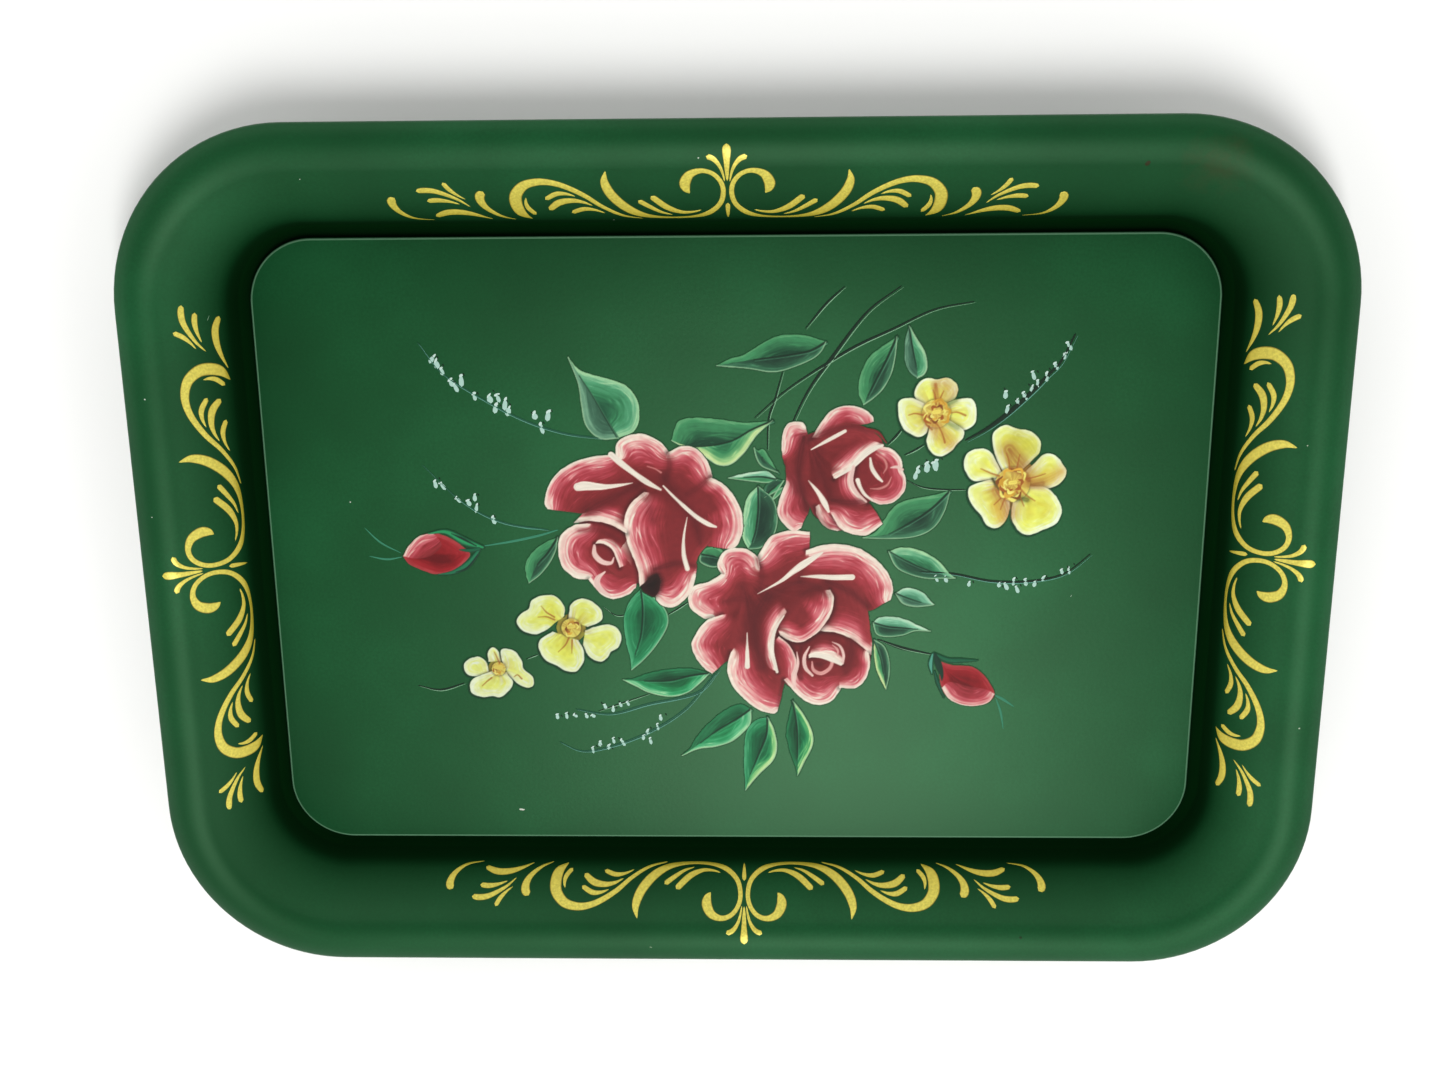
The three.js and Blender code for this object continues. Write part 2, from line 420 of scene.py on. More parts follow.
def nearest(x, y, curve):
    # Distance from every point to a polyline, and how far along it the nearest place lies
    best, along, start = np.full(x.shape, 1e9), np.zeros(x.shape), 0.0
    for (ax, ay), (bx, by) in zip(curve[:-1, :2], curve[1:, :2]):
        length = np.hypot(bx - ax, by - ay)
        if length > 0:
            t = np.clip(((x - ax) * (bx - ax) + (y - ay) * (by - ay)) / length ** 2, 0, 1)
            distance = np.hypot(x - ax - t * (bx - ax), y - ay - t * (by - ay))
            along = np.where(distance < best, start + t * length, along)
            best = np.minimum(best, distance)
            start += length
    return best, along


def rounded(x, y, curve, exact, along):
    # The same two without a crease where two parts of the curve are equally near. The distance is the
    # inverse cube root of the sum of ds / d^4, which equals d beside a straight line, and the place is
    # the mean of the places with those weights; close by, the exact ones are kept.
    middles, steps = (curve[:-1] + curve[1:]) / 2, np.linalg.norm(np.diff(curve, axis=0), axis=1)
    total, moment, place = np.zeros(x.shape), np.zeros(x.shape), 0.0
    for (cx, cy), step in zip(middles, steps):
        weight = step / ((x - cx) ** 2 + (y - cy) ** 2 + 0.1) ** 2
        total += weight
        moment += weight * (place + step / 2)
        place += step
    share = np.clip((exact - 1) / 1.5, 0, 1)
    return exact + (np.cbrt(np.pi / 2 / total) - exact) * share, along + (moment / total - along) * share


def within(x, y, outline):
    # Even-odd rule: a point is inside where a line from it crosses the outline an odd number of times
    inside = np.zeros(x.shape, bool)
    for (ax, ay), (bx, by) in zip(outline, np.roll(outline, -1, axis=0)):
        if ay != by:
            inside ^= ((ay > y) != (by > y)) & (x < (bx - ax) * (y - ay) / (by - ay) + ax)
    return inside


def layOn(canvas, part, colour, amount, relief):
    # Paint over paint: the new load hides what lies under it by its amount
    under = canvas["cover"][part] * (1 - amount)
    cover = amount + under
    weight = (amount / np.maximum(cover, 1e-6))[..., None]
    canvas["colour"][part] = colour * weight + canvas["colour"][part] * (1 - weight)
    canvas["cover"][part] = cover
    canvas["relief"][part] = relief * amount + canvas["relief"][part] * (1 - amount)


def tones(stops, t):
    places, colours = zip(*stops)
    colours = np.array([sRgb(colour) for colour in colours])
    return np.stack([np.interp(t, places, colours[:, k]) for k in range(3)], -1)


def wisps(along, fromRim, depth, strength, seed):
    # What single bristles leave: thin arcs at a drifting distance from the rim, each a Gaussian across
    # and a squared sine along it, lighter or darker than the load around them
    draws, trail = np.random.default_rng(seed), np.zeros(along.shape)
    length = along.max() + 1e-3
    for _ in range(int(10 + length * 0.9)):
        start, reach = draws.uniform(-4, length), draws.uniform(4, 13)
        offset, drift = depth * draws.uniform(0.06, 1.1), draws.uniform(-0.22, 0.22)
        width = draws.uniform(0.12, 0.3)
        lightness = draws.choice([1.0, 1.0, -0.8]) * draws.uniform(0.3, 1.0)
        across = (fromRim - offset - drift * (along - start)) / width
        passed = np.clip((along - start) / reach, 0, 1)
        trail += lightness * np.exp(-across ** 2) * np.sin(np.pi * passed) ** 2
    return strength * 0.9 * np.clip(trail, -1, 1)


def petal(canvas, rim, root, stops, depth, seed, band=1.0, shade=2.6, streak=0.2, amount=1.0, fade=0.0):
    # A petal pulled round its rim with a double-loaded flat brush. The outline is a spline through the
    # rim's points and one back through the root's. Its tone runs from the rim inwards over the depth,
    # in millimetres, in hair-fine streaks along the rim; the paint below it is shaded just outside it,
    # and towards its root the brush runs dry over the fade where there is paint below.
    curve = spline(rim, 70)
    back = spline([rim[-1], *root, rim[0]], 40)[1:-1]
    outline = np.vstack([curve, back])
    part = window(canvas, outline, shade + 1)
    x, y = canvas["x"][part], canvas["y"][part]
    edge, _ = nearest(x, y, np.vstack([outline, outline[:1]]))
    edge = np.where(within(x, y, outline), edge, -edge)
    fromRim, along = nearest(x, y, curve)
    fromRim, along = rounded(x, y, curve, fromRim, along)
    shadow = np.clip(1 - fromRim / shade, 0, 1) ** 2 * paint["shadow"]
    canvas["colour"][part] *= (1 - shadow * (edge < 0))[..., None]
    wide = band * (0.5 + 1.0 * softNoise(along / 6, along * 0, seed))
    t = fromRim / depth
    hairs = softNoise(along / 11 + 7, fromRim / 0.55, seed + 1)
    hairs = hairs + 0.5 * softNoise(along / 5, fromRim / 0.3, seed + 2)
    t = t / (t + wide * (1 - t)) if band != 1.0 else t / wide
    t = t + streak * (hairs - 0.75) * np.clip(4 * t + 0.15, 0, 1) * np.clip(1.35 - t, 0.25, 1)
    t = t - wisps(along, fromRim, depth, streak, seed + 6)
    colour = tones(stops, t) * (0.97 + 0.06 * softNoise(x / 1.3, y / 1.3, seed + 3))[..., None]
    wobble = paint["wobble"] * (softNoise(x / 1.7, y / 1.7, seed + 4) - 0.5)
    load = amount * np.clip(0.5 + (edge + wobble) / paint["softEdge"], 0, 1)
    if fade:
        toRoot, _ = nearest(x, y, back)
        dry = np.clip(1 - np.maximum(toRoot / fade, 1.6 - fromRim / paint["ridge"]), 0, 1)
        load = load * (1 - dry * np.clip(canvas["cover"][part], 0, 1))
    ridge = np.clip(1 - fromRim / paint["ridge"], 0, 1)
    layOn(canvas, part, colour, load, paint["thickness"] * (0.5 + 0.7 * ridge + 0.35 * (hairs - 0.75)))


def dab(canvas, points, widths, colour, seed=0, side=None, amount=1.0, relief=1.6):
    # One pull of a round brush: as wide as given at each point, and a second colour along one flank
    route = spline(np.column_stack([points, widths]), 40)
    part = window(canvas, route, max(widths))
    x, y = canvas["x"][part], canvas["y"][part]
    distance, along = nearest(x, y, route)
    steps = np.r_[0, np.cumsum(np.linalg.norm(np.diff(route[:, :2], axis=0), axis=1))]
    half = np.interp(along, steps, route[:, 2]) / 2
    hairs = softNoise(along / 4, distance / 0.3, seed)
    load = amount * np.clip(0.5 + (half - distance + 0.12 * (hairs - 0.5)) / paint["softEdge"], 0, 1)
    load = load * (half > 0.02)
    across = distance / np.maximum(half, 0.1)  # 0 on the middle line and 1 at the flank
    tone = np.broadcast_to(sRgb(colour), (*x.shape, 3))
    if side:
        tone = tones(((0.0, colour), (1.0, side)), np.clip(across * 1.4 - 0.6, 0, 1))
    tone = tone * (0.94 + 0.1 * hairs)[..., None]
    layOn(canvas, part, tone, load, paint["thickness"] * relief * np.clip(1 - across * 0.5, 0, 1))


def glaze(canvas, points, width, colour, amount):
    # A thin transparent stroke with soft edges, a Gaussian across, that only tints paint already there
    route = spline(points, 24)
    part = window(canvas, route, width)
    distance, along = nearest(canvas["x"][part], canvas["y"][part], route)
    hairs = 0.7 + 0.6 * softNoise(along / 5, distance / 0.5, 41)
    load = (amount * hairs * np.exp(-(distance / width * 1.8) ** 2))[..., None]
    canvas["colour"][part] = canvas["colour"][part] * (1 - load) + sRgb(colour) * load


def dryPaint(name, canvas, material, layer):
    # The painted cells become a sheet just above the enamel, raised by the paint's own thickness
    rows, columns = canvas["x"].shape
    painted = canvas["cover"] > 0.004
    cells = painted[:-1, :-1] | painted[1:, :-1] | painted[:-1, 1:] | painted[1:, 1:]
    kept, faces = np.unique(gridFaces(rows, columns)[cells.ravel()], return_inverse=True)
    cover = np.clip(canvas["cover"].ravel()[kept], 0, 1)
    x, y = canvas["x"].ravel()[kept], canvas["y"].ravel()[kept]
    z = panelTop + paint["film"] * (1 + 3 * layer) + canvas["relief"].ravel()[kept] * cover
    colours = linear(np.clip(canvas["colour"].reshape(-1, 3)[kept], 0, 1)) * paint["dimmed"]
    pigment = np.column_stack([colours, np.ones(len(kept))])
    piece = addPiece(name, np.column_stack([x, y, z]), faces.reshape(-1, 4), material,
                     {"pigment": pigment, "cover": cover}, flatMap=np.column_stack([x, y]))
    print(f"{name}: {len(piece.data.polygons)} cells of paint")


def flowerPaintMaterial():
    # Artists' oil paint, brushed by hand on the enamel: opaque, duller than the ground, and thinned to
    # nothing at its edges, where the enamel's own pattern shows
    material, tree = newMaterial("brushed_oil_paint")
    place = addNode(tree, "ShaderNodeTexCoord").outputs["Object"]
    pigment = addNode(tree, "ShaderNodeAttribute", attribute_name="pigment")
    cover = addNode(tree, "ShaderNodeAttribute", attribute_name="cover")
    both = addNode(tree, "ShaderNodeMix", data_type="RGBA",
                   links={mixFactor: cover.outputs["Fac"], mixFirst: enamelColour(tree, place),
                          mixSecond: pigment.outputs["Color"]})
    shader = addNode(tree, "ShaderNodeBsdfPrincipled",
                     {"Roughness": paint["roughness"], "IOR": 1.48, "Specular IOR Level": paint["specular"]},
                     {"Base Color": both.outputs[mixColour], "Normal": enamelPeel(tree, place)})
    finishMaterial(tree, shader)
    return material


roseTones = ((0.0, "#f2e8d6"), (0.08, "#efd6c8"), (0.2, "#e6a8a4"), (0.36, "#cf6c74"), (0.56, "#b3444f"),
             (0.78, "#9c363c"), (1.0, "#862c2f"))
deepTones = ((0.0, "#a23c40"), (0.4, "#8c2f32"), (1.0, "#762426"))
gapTones = ((0.0, "#3a1a18"), (1.0, "#23140f"))
cream, pinkCream, blush = "#efe6d6", "#ebc9bf", "#cf8580"

# Each petal: its rim, its root, the depth of its shading in millimetres, and how wide its light band is.
# They are painted in order, the far ones first; each highlight has its points, widths and colour.
leftRose = {
    "low": (-76, -26), "high": (7, 50),
    "body": ((-45, 36), (-30, 40), (-14, 33), (-4, 20), (-8, 6), (-14, -2), (-17, -12), (-24, -17),
             (-34, -14), (-48, -8), (-60, 8), (-57, 16), (-50, 28)),
    "gap": ((-37.5, -13), (-31, -8.5), (-28.5, -12), (-30.8, -18), (-35, -16.5)),
    "petals": (
        (((-47, 38.5), (-53, 38), (-60, 36.2), (-66.5, 32.5), (-71, 27), (-73, 20), (-72, 17.3)),
         ((-57, 15.5), (-44, 17), (-33, 24), (-38, 30)), 16, 0.6),
        (((-45, 38), (-44.5, 43), (-40, 46), (-34, 46.5), (-28, 43.5), (-24.5, 39.5)),
         ((-23, 34), (-27, 27), (-36, 30)), 14, 1.3),
        (((-25, 39.3), (-20, 41.7), (-14.5, 41), (-10, 36), (-8, 30)),
         ((-12, 24), (-18, 22), (-26, 26), (-27, 33)), 14, 0.8),
        (((-8.5, 29.5), (-4, 27), (0, 22.5), (3, 16), (3.5, 9), (1.5, 3), (-1, 1)),
         ((-13, 3.5), (-15, 12), (-22, 20), (-15, 27)), 15, 1.0),
        (((-30.5, -19.5), (-28, -22), (-24, -22.5), (-20, -20), (-16.5, -15.5), (-15, -10)),
         ((-15, -4), (-22, -5), (-28, -9), (-31, -14)), 12, 1.2),
        (((-34.5, 24), (-40, 19), (-42.5, 12), (-41.5, 4), (-39, -3), (-37.5, -8), (-37, -14)),
         ((-30, -9), (-17, -6), (-13.5, 1), (-15, 12), (-24, 22)), 17, 0.95),
        (((-62, 11.7), (-55, 12.5), (-48, 11), (-41.5, 7.5)),
         ((-41.8, 14), (-39.5, 21), (-48, 21), (-57, 16.5)), 11, 1.7),
        (((-57, 11.5), (-62, 10.8), (-67, 7), (-68.5, 1), (-67, -6), (-62, -10.5), (-57, -11)),
         ((-50, -9), (-41, -8), (-39.5, 0), (-42, 7.5), (-50, 10.6)), 12, 1.5),
        (((-57, -11), (-54.5, -14.5), (-51, -18), (-47, -19), (-42, -17.5), (-38.5, -14.5)),
         ((-37.8, -8), (-40, -4.5), (-45, -6.5), (-51, -7.5), (-55, -9.5)), 10, 1.0),
        (((-54, 3.4), (-50.5, 3.2), (-47.7, 1.2), (-46, -2), (-44.7, -6.4)),
         ((-42, -5), (-39.8, -3), (-41, 0.5), (-44, 3.8), (-49, 5.4), (-52.5, 5)), 7, 1.5),
    ),
    "highlights": (
        (((-50.5, -8), (-53.5, -11), (-53, -14.5), (-48.5, -18)), (0.6, 2.2, 2.2, 0.9), pinkCream),
        (((-54.3, 2.6), (-54.2, -1), (-51.5, -3.9), (-48, -4.4), (-46.8, -2.2)), (1.0, 2.1, 2.0, 1.4, 0.4),
         pinkCream),
        (((-46.8, 38.6), (-43, 35.2), (-38, 31.2), (-33, 27.6), (-28, 24.8)), (2.4, 2.4, 2.0, 2.0, 0.8),
         cream),
        (((-60, 26), (-57, 26.4), (-50, 26), (-44, 26.6), (-38.8, 27.5)), (3.2, 3.6, 2.2, 1.2, 0.3), cream),
        (((-27, 26.3), (-22, 21), (-15, 14.5), (-10, 11.2), (-6.8, 10)), (0.5, 1.2, 1.7, 1.7, 0.7), cream),
        (((-18, 13.8), (-19.4, 6), (-19.5, -1), (-18.2, -6.8)), (0.3, 1.0, 1.7, 1.9), cream),
        (((-33, 34), (-30, 33), (-27.8, 31.6)), (0.3, 0.5, 0.8), blush),
    ),
}

lowerRose = {
    "low": (-20, -70), "high": (65, 12),
    "body": ((2, -8), (14, -4), (28, -2), (46, -8), (52, -23), (53.5, -36), (53, -46), (44, -54), (36, -59),
             (25, -56), (19, -52), (17, -60), (8, -54), (0, -44), (-6, -34), (-8, -22), (-2, -14)),
    "gap": None,
    "petals": (
        (((9, -2), (12, 3), (15, 6.5), (22, 8.5), (29.5, 8)), ((29.2, 1), (27, -8), (14, -14), (9, -10)), 14,
         1.1),
        (((28, 0.5), (34, 2.5), (40, 3), (48, 1.5), (55, -3), (60, -9), (62, -15), (61, -19.5)),
         ((52, -24), (46, -17), (38, -12), (28, -9)), 15, 1.1),
        (((-5, -9), (-6.5, -5), (-4, 0), (0, 1.5), (5, 1), (9, -2), (10, -6)), ((9, -15), (2, -16)), 13,
         1.5),
        (((-5, -9), (-10, -12), (-16, -14), (-18, -18), (-17, -23), (-12, -27), (-9, -27)),
         ((0, -25), (6, -20), (3, -11)), 13, 1.2),
        (((-5, -25.5), (-11, -28), (-15, -33), (-17, -38), (-15.5, -43), (-12, -48), (-9, -50)),
         ((-4, -45.5), (1, -42), (3, -34), (0, -26)), 12, 1.1),
        (((-1.5, -41), (-3, -48), (-1, -55), (3, -60), (9, -65), (15, -67), (17, -66)),
         ((19, -57), (19.5, -50), (10, -38), (3, -36)), 15, 1.3),
        (((20.5, -24.5), (16.8, -31), (15, -36), (14.8, -42), (17, -49.5)),
         ((12.5, -46), (9.5, -36), (11, -26), (17, -19)), 10, 1.3),
        (((33.5, -32.3), (40, -33), (46, -35.5), (51, -39.5), (54, -42.5)),
         ((53.8, -34), (50.5, -25), (45, -20), (39, -16.5), (38, -24), (36, -29)), 16, 1.0),
        (((18, -34), (21, -35.8), (24.5, -37), (28.5, -36), (34, -31.5), (38, -25), (39, -19),
          (37.5, -15.5)), ((30, -15.5), (23, -18.5), (17.8, -25), (16.6, -30)), 14, 1.0),
        (((17.5, -34.5), (21.5, -38), (24.3, -44), (24.5, -50), (27, -56.5)),
         ((21, -55), (18, -50), (15.8, -42), (16, -37)), 9, 0.8),
        (((19.5, -52.5), (25, -59), (30, -62.5), (35, -63), (39, -61), (42, -56.5)),
         ((43, -50), (40, -46), (30, -47), (25.5, -43), (24.5, -49)), 12, 1.1),
        (((41.5, -56), (48, -56), (52, -52), (53.5, -46), (53, -41.5)),
         ((48, -37.5), (43.5, -38), (43.5, -46), (41.5, -51)), 11, 1.0),
        (((29.3, -43.5), (33, -42.4), (38, -43), (42.7, -46.2)),
         ((43, -41), (40, -36.6), (35, -35.2), (31, -38)), 9, 1.6),
    ),
    "highlights": (
        (((29.5, -38.8), (27.6, -43), (28, -47.5), (30.8, -50.8)), (0.5, 1.4, 1.6, 1.0), pinkCream),
        (((30.6, -45), (31.2, -48.4), (34.2, -49.9), (37.4, -48), (38.5, -45.4), (37.2, -44.3)),
         (0.5, 1.4, 1.5, 1.5, 1.3, 0.3), "#dda09a"),
        (((38.5, -36.8), (41.5, -38.5), (43, -42), (42.8, -45.8)), (0.3, 0.9, 1.1, 0.8), pinkCream),
        (((38.6, -38), (40.6, -40), (40.8, -42.6)), (0.3, 0.9, 0.3), "#dda09a"),
        (((24.6, -41), (25, -46), (23.4, -51), (23.8, -56)), (0.4, 1.2, 2.0, 1.0), pinkCream),
        (((30, -42.4), (34, -42.6), (38.5, -44), (42, -46)), (1.5, 2.0, 2.3, 1.4), cream),
        (((9.2, -17), (18, -12), (23, -8), (28, -4.4), (34.3, -0.4)), (0.3, 1.2, 2.2, 2.7, 0.8), cream),
        (((26, -10), (32, -10), (39, -10.4), (46, -10.3)), (0.3, 1.4, 2.1, 2.2), cream),
        (((5, -33), (5, -40), (5, -47)), (0.3, 1.2, 2.2), cream),
        (((19.5, -26), (16, -32), (14.7, -40), (16.8, -49.3)), (0.4, 1.2, 1.8, 1.2), cream),
    ),
}

rightRose = {
    "low": (14, 3), "high": (70, 60),
    "body": ((28, 46), (40, 50), (50, 49), (57, 43), (58, 34), (54, 22), (44, 14), (33, 13), (28, 20),
             (22, 26), (20, 33), (22, 40)),
    "gap": None,
    "petals": (
        (((31.5, 18), (32.5, 13.5), (36, 9.5), (40, 8.3)), ((44, 10), (40, 16), (34, 19)), 16, 0.5),
        (((27.5, 49.5), (26, 51), (21, 50.5), (18.8, 46), (18.5, 40)),
         ((20, 34), (25, 32), (28, 40), (28.5, 45)), 11, 1.0),
        (((20, 27), (17.5, 20), (17, 15), (19.5, 11), (23, 8), (26, 9.5)),
         ((29.5, 18.5), (28, 27), (25, 34), (21, 33)), 13, 1.2),
        (((30, 45), (33, 50), (37, 55), (42, 57), (48, 56.5), (52.5, 53.5), (53.5, 51)),
         ((50, 50), (43, 48.5), (35, 45)), 11, 0.9),
        (((38, 14.5), (41, 9.5), (46, 7), (51, 6.5), (55, 9), (57.5, 11)),
         ((54, 17), (50, 20.5), (42, 20.5), (34, 20)), 12, 1.1),
        (((38.5, 28.8), (45, 33), (50, 38.2), (54, 41), (57.3, 42.3)), ((50, 44), (42, 41), (37, 35)), 11,
         1.3),
        (((46.8, 34.5), (45.3, 28), (47, 23.5), (51.5, 19.5)), ((44, 17.5), (39, 22), (38.5, 29), (42, 32)),
         9, 0.9),
        (((56, 41.6), (60, 40.5), (63.5, 37.5), (64.7, 34), (64.5, 32.5), (66, 29), (65.5, 24), (62, 20),
          (57, 18.7), (53, 20)), ((47.5, 24), (46.3, 30), (48.5, 35), (53, 39.8)), 9, 0.8),
    ),
    "highlights": (
        (((50, 48.5), (55, 46.8), (58.3, 42.8)), (0.6, 1.2, 0.4), "#8c2f32"),
        (((39.2, 29.2), (45, 33.2), (50, 38.2), (54, 40.8), (57, 41.8)), (0.6, 1.6, 2.4, 2.0, 0.8), cream),
        (((46, 33.6), (45.2, 28), (47, 23.8), (51, 19.9)), (1.2, 1.6, 1.5, 0.6), pinkCream),
        (((52.3, 36.8), (53, 33), (55, 29.8), (57, 27.8)), (0.9, 1.5, 1.5, 0.8), cream),
        (((47.6, 28.3), (48.6, 25.6), (50.5, 22.6), (53.5, 20.3)), (1.8, 1.5, 1.2, 0.5), cream),
        (((54.5, 38.5), (57.5, 36.5), (58.6, 33.5), (57.4, 31)), (0.4, 0.9, 0.9, 0.4), blush),
        (((60.5, 29.5), (59, 26.5), (56, 25), (52.5, 25)), (0.3, 0.9, 0.9, 0.4), blush),
        (((60.2, 33.2), (62.5, 33.4), (64.7, 32.4)), (0.5, 1.2, 1.0), pinkCream),
        (((29.8, 40.3), (36, 43.8), (42.6, 47.4)), (0.4, 1.5, 1.2), cream),
        (((28.8, 28.2), (32.5, 23.6), (35, 19.4), (36.6, 16)), (0.3, 1.6, 2.3, 1.0), cream),
    ),
}


# The dark folds between the petals, glazed over them: their points, their width and their strength
folds = {
    "left_rose": (
        (((-57, 16.5), (-50, 20), (-42, 24), (-36, 27)), 4.0, 0.55),
        (((-25, 39), (-24.5, 34), (-26, 29)), 2.2, 0.4), (((-9, 30), (-13, 26), (-18, 23)), 2.5, 0.4),
        (((-27, 30), (-24, 25), (-18, 18), (-13.5, 12)), 4.0, 0.4),
        (((-13, 3.5), (-14, 10), (-18, 17)), 2.6, 0.4), (((-31, -7), (-22, -4.5), (-14.5, -6)), 2.6, 0.55),
        (((-60, 8.6), (-52, 8.6), (-45, 5)), 2.4, 0.3), (((-39, 27), (-34, 22), (-31, 12)), 3.0, 0.25),
    ),
    "lower_rose": (
        (((13, -17), (8.5, -26), (8.3, -36), (11, -47)), 4.6, 0.6),
        (((26, -12), (20, -14), (14, -19)), 3.6, 0.45), (((36, -12), (45, -16), (52, -22)), 3.2, 0.55),
        (((3, -14), (6, -22), (3.4, -36)), 3.6, 0.35), (((9, -3), (11, -10), (9, -16)), 2.4, 0.35),
        (((27, -5), (26, -12), (33, -14)), 2.6, 0.35), (((19, -53), (18.3, -58), (17.6, -64)), 2.0, 0.4),
        (((46, -37), (46, -42), (44, -49)), 3.4, 0.45), (((26.4, -39), (25.6, -45), (26.5, -52)), 2.0, 0.45),
        (((31, -46), (34, -46), (36, -44.6)), 2.2, 0.4), (((27, -17), (32, -15), (37, -17)), 3.4, 0.35),
        (((-3, -20), (2, -19), (6, -20)), 3.0, 0.3),
    ),
    "right_rose": (
        (((27, 45), (25.5, 37), (25, 30), (26.5, 23), (28.5, 17)), 3.6, 0.7),
        (((29, 44), (37, 47.5), (45, 49.3), (52.5, 48)), 3.0, 0.55),
        (((38, 20.5), (44, 19.5), (51, 20)), 3.0, 0.6), (((32, 40), (33, 32), (36, 24)), 5.0, 0.35),
        (((47, 33), (47.3, 28), (51, 22.6)), 2.2, 0.35), (((31, 18), (33, 13), (37, 10)), 2.4, 0.4),
        (((20, 34), (22, 29), (24, 24)), 3.0, 0.35),
    ),
}


def paintRose(name, rose, seed, material):
    canvas = newCanvas(rose["low"], rose["high"])
    petal(canvas, (*rose["body"], rose["body"][0]), (), deepTones, 12, seed)
    for i, (rim, root, depth, band) in enumerate(rose["petals"]):
        petal(canvas, rim, root, roseTones, 0.85 * depth, seed + 10 * i + 10, band=band, streak=0.3,
              fade=min(4.5, depth * 0.4))
        if rose["gap"] and i == 4:
            petal(canvas, (*rose["gap"], rose["gap"][0]), (), gapTones, 3, seed + 5)
    for points, width, amount in folds[name]:
        glaze(canvas, points, width, "#5a1c1f", amount)
    for i, (points, widths, colour) in enumerate(rose["highlights"]):
        dab(canvas, points, widths, colour, seed + i)
    dryPaint(name, canvas, material, layer=3)


yellowTones = ((0.0, "#eef7da"), (0.12, "#edf5c0"), (0.35, "#e9f08e"), (0.65, "#e6ea6a"), (1.0, "#e0db58"))
heartTones = ((0.0, "#e4d870"), (1.0, "#dcc258"))
ochre, rust, lemon = "#cf9f3c", "#a8642c", "#efe67a"

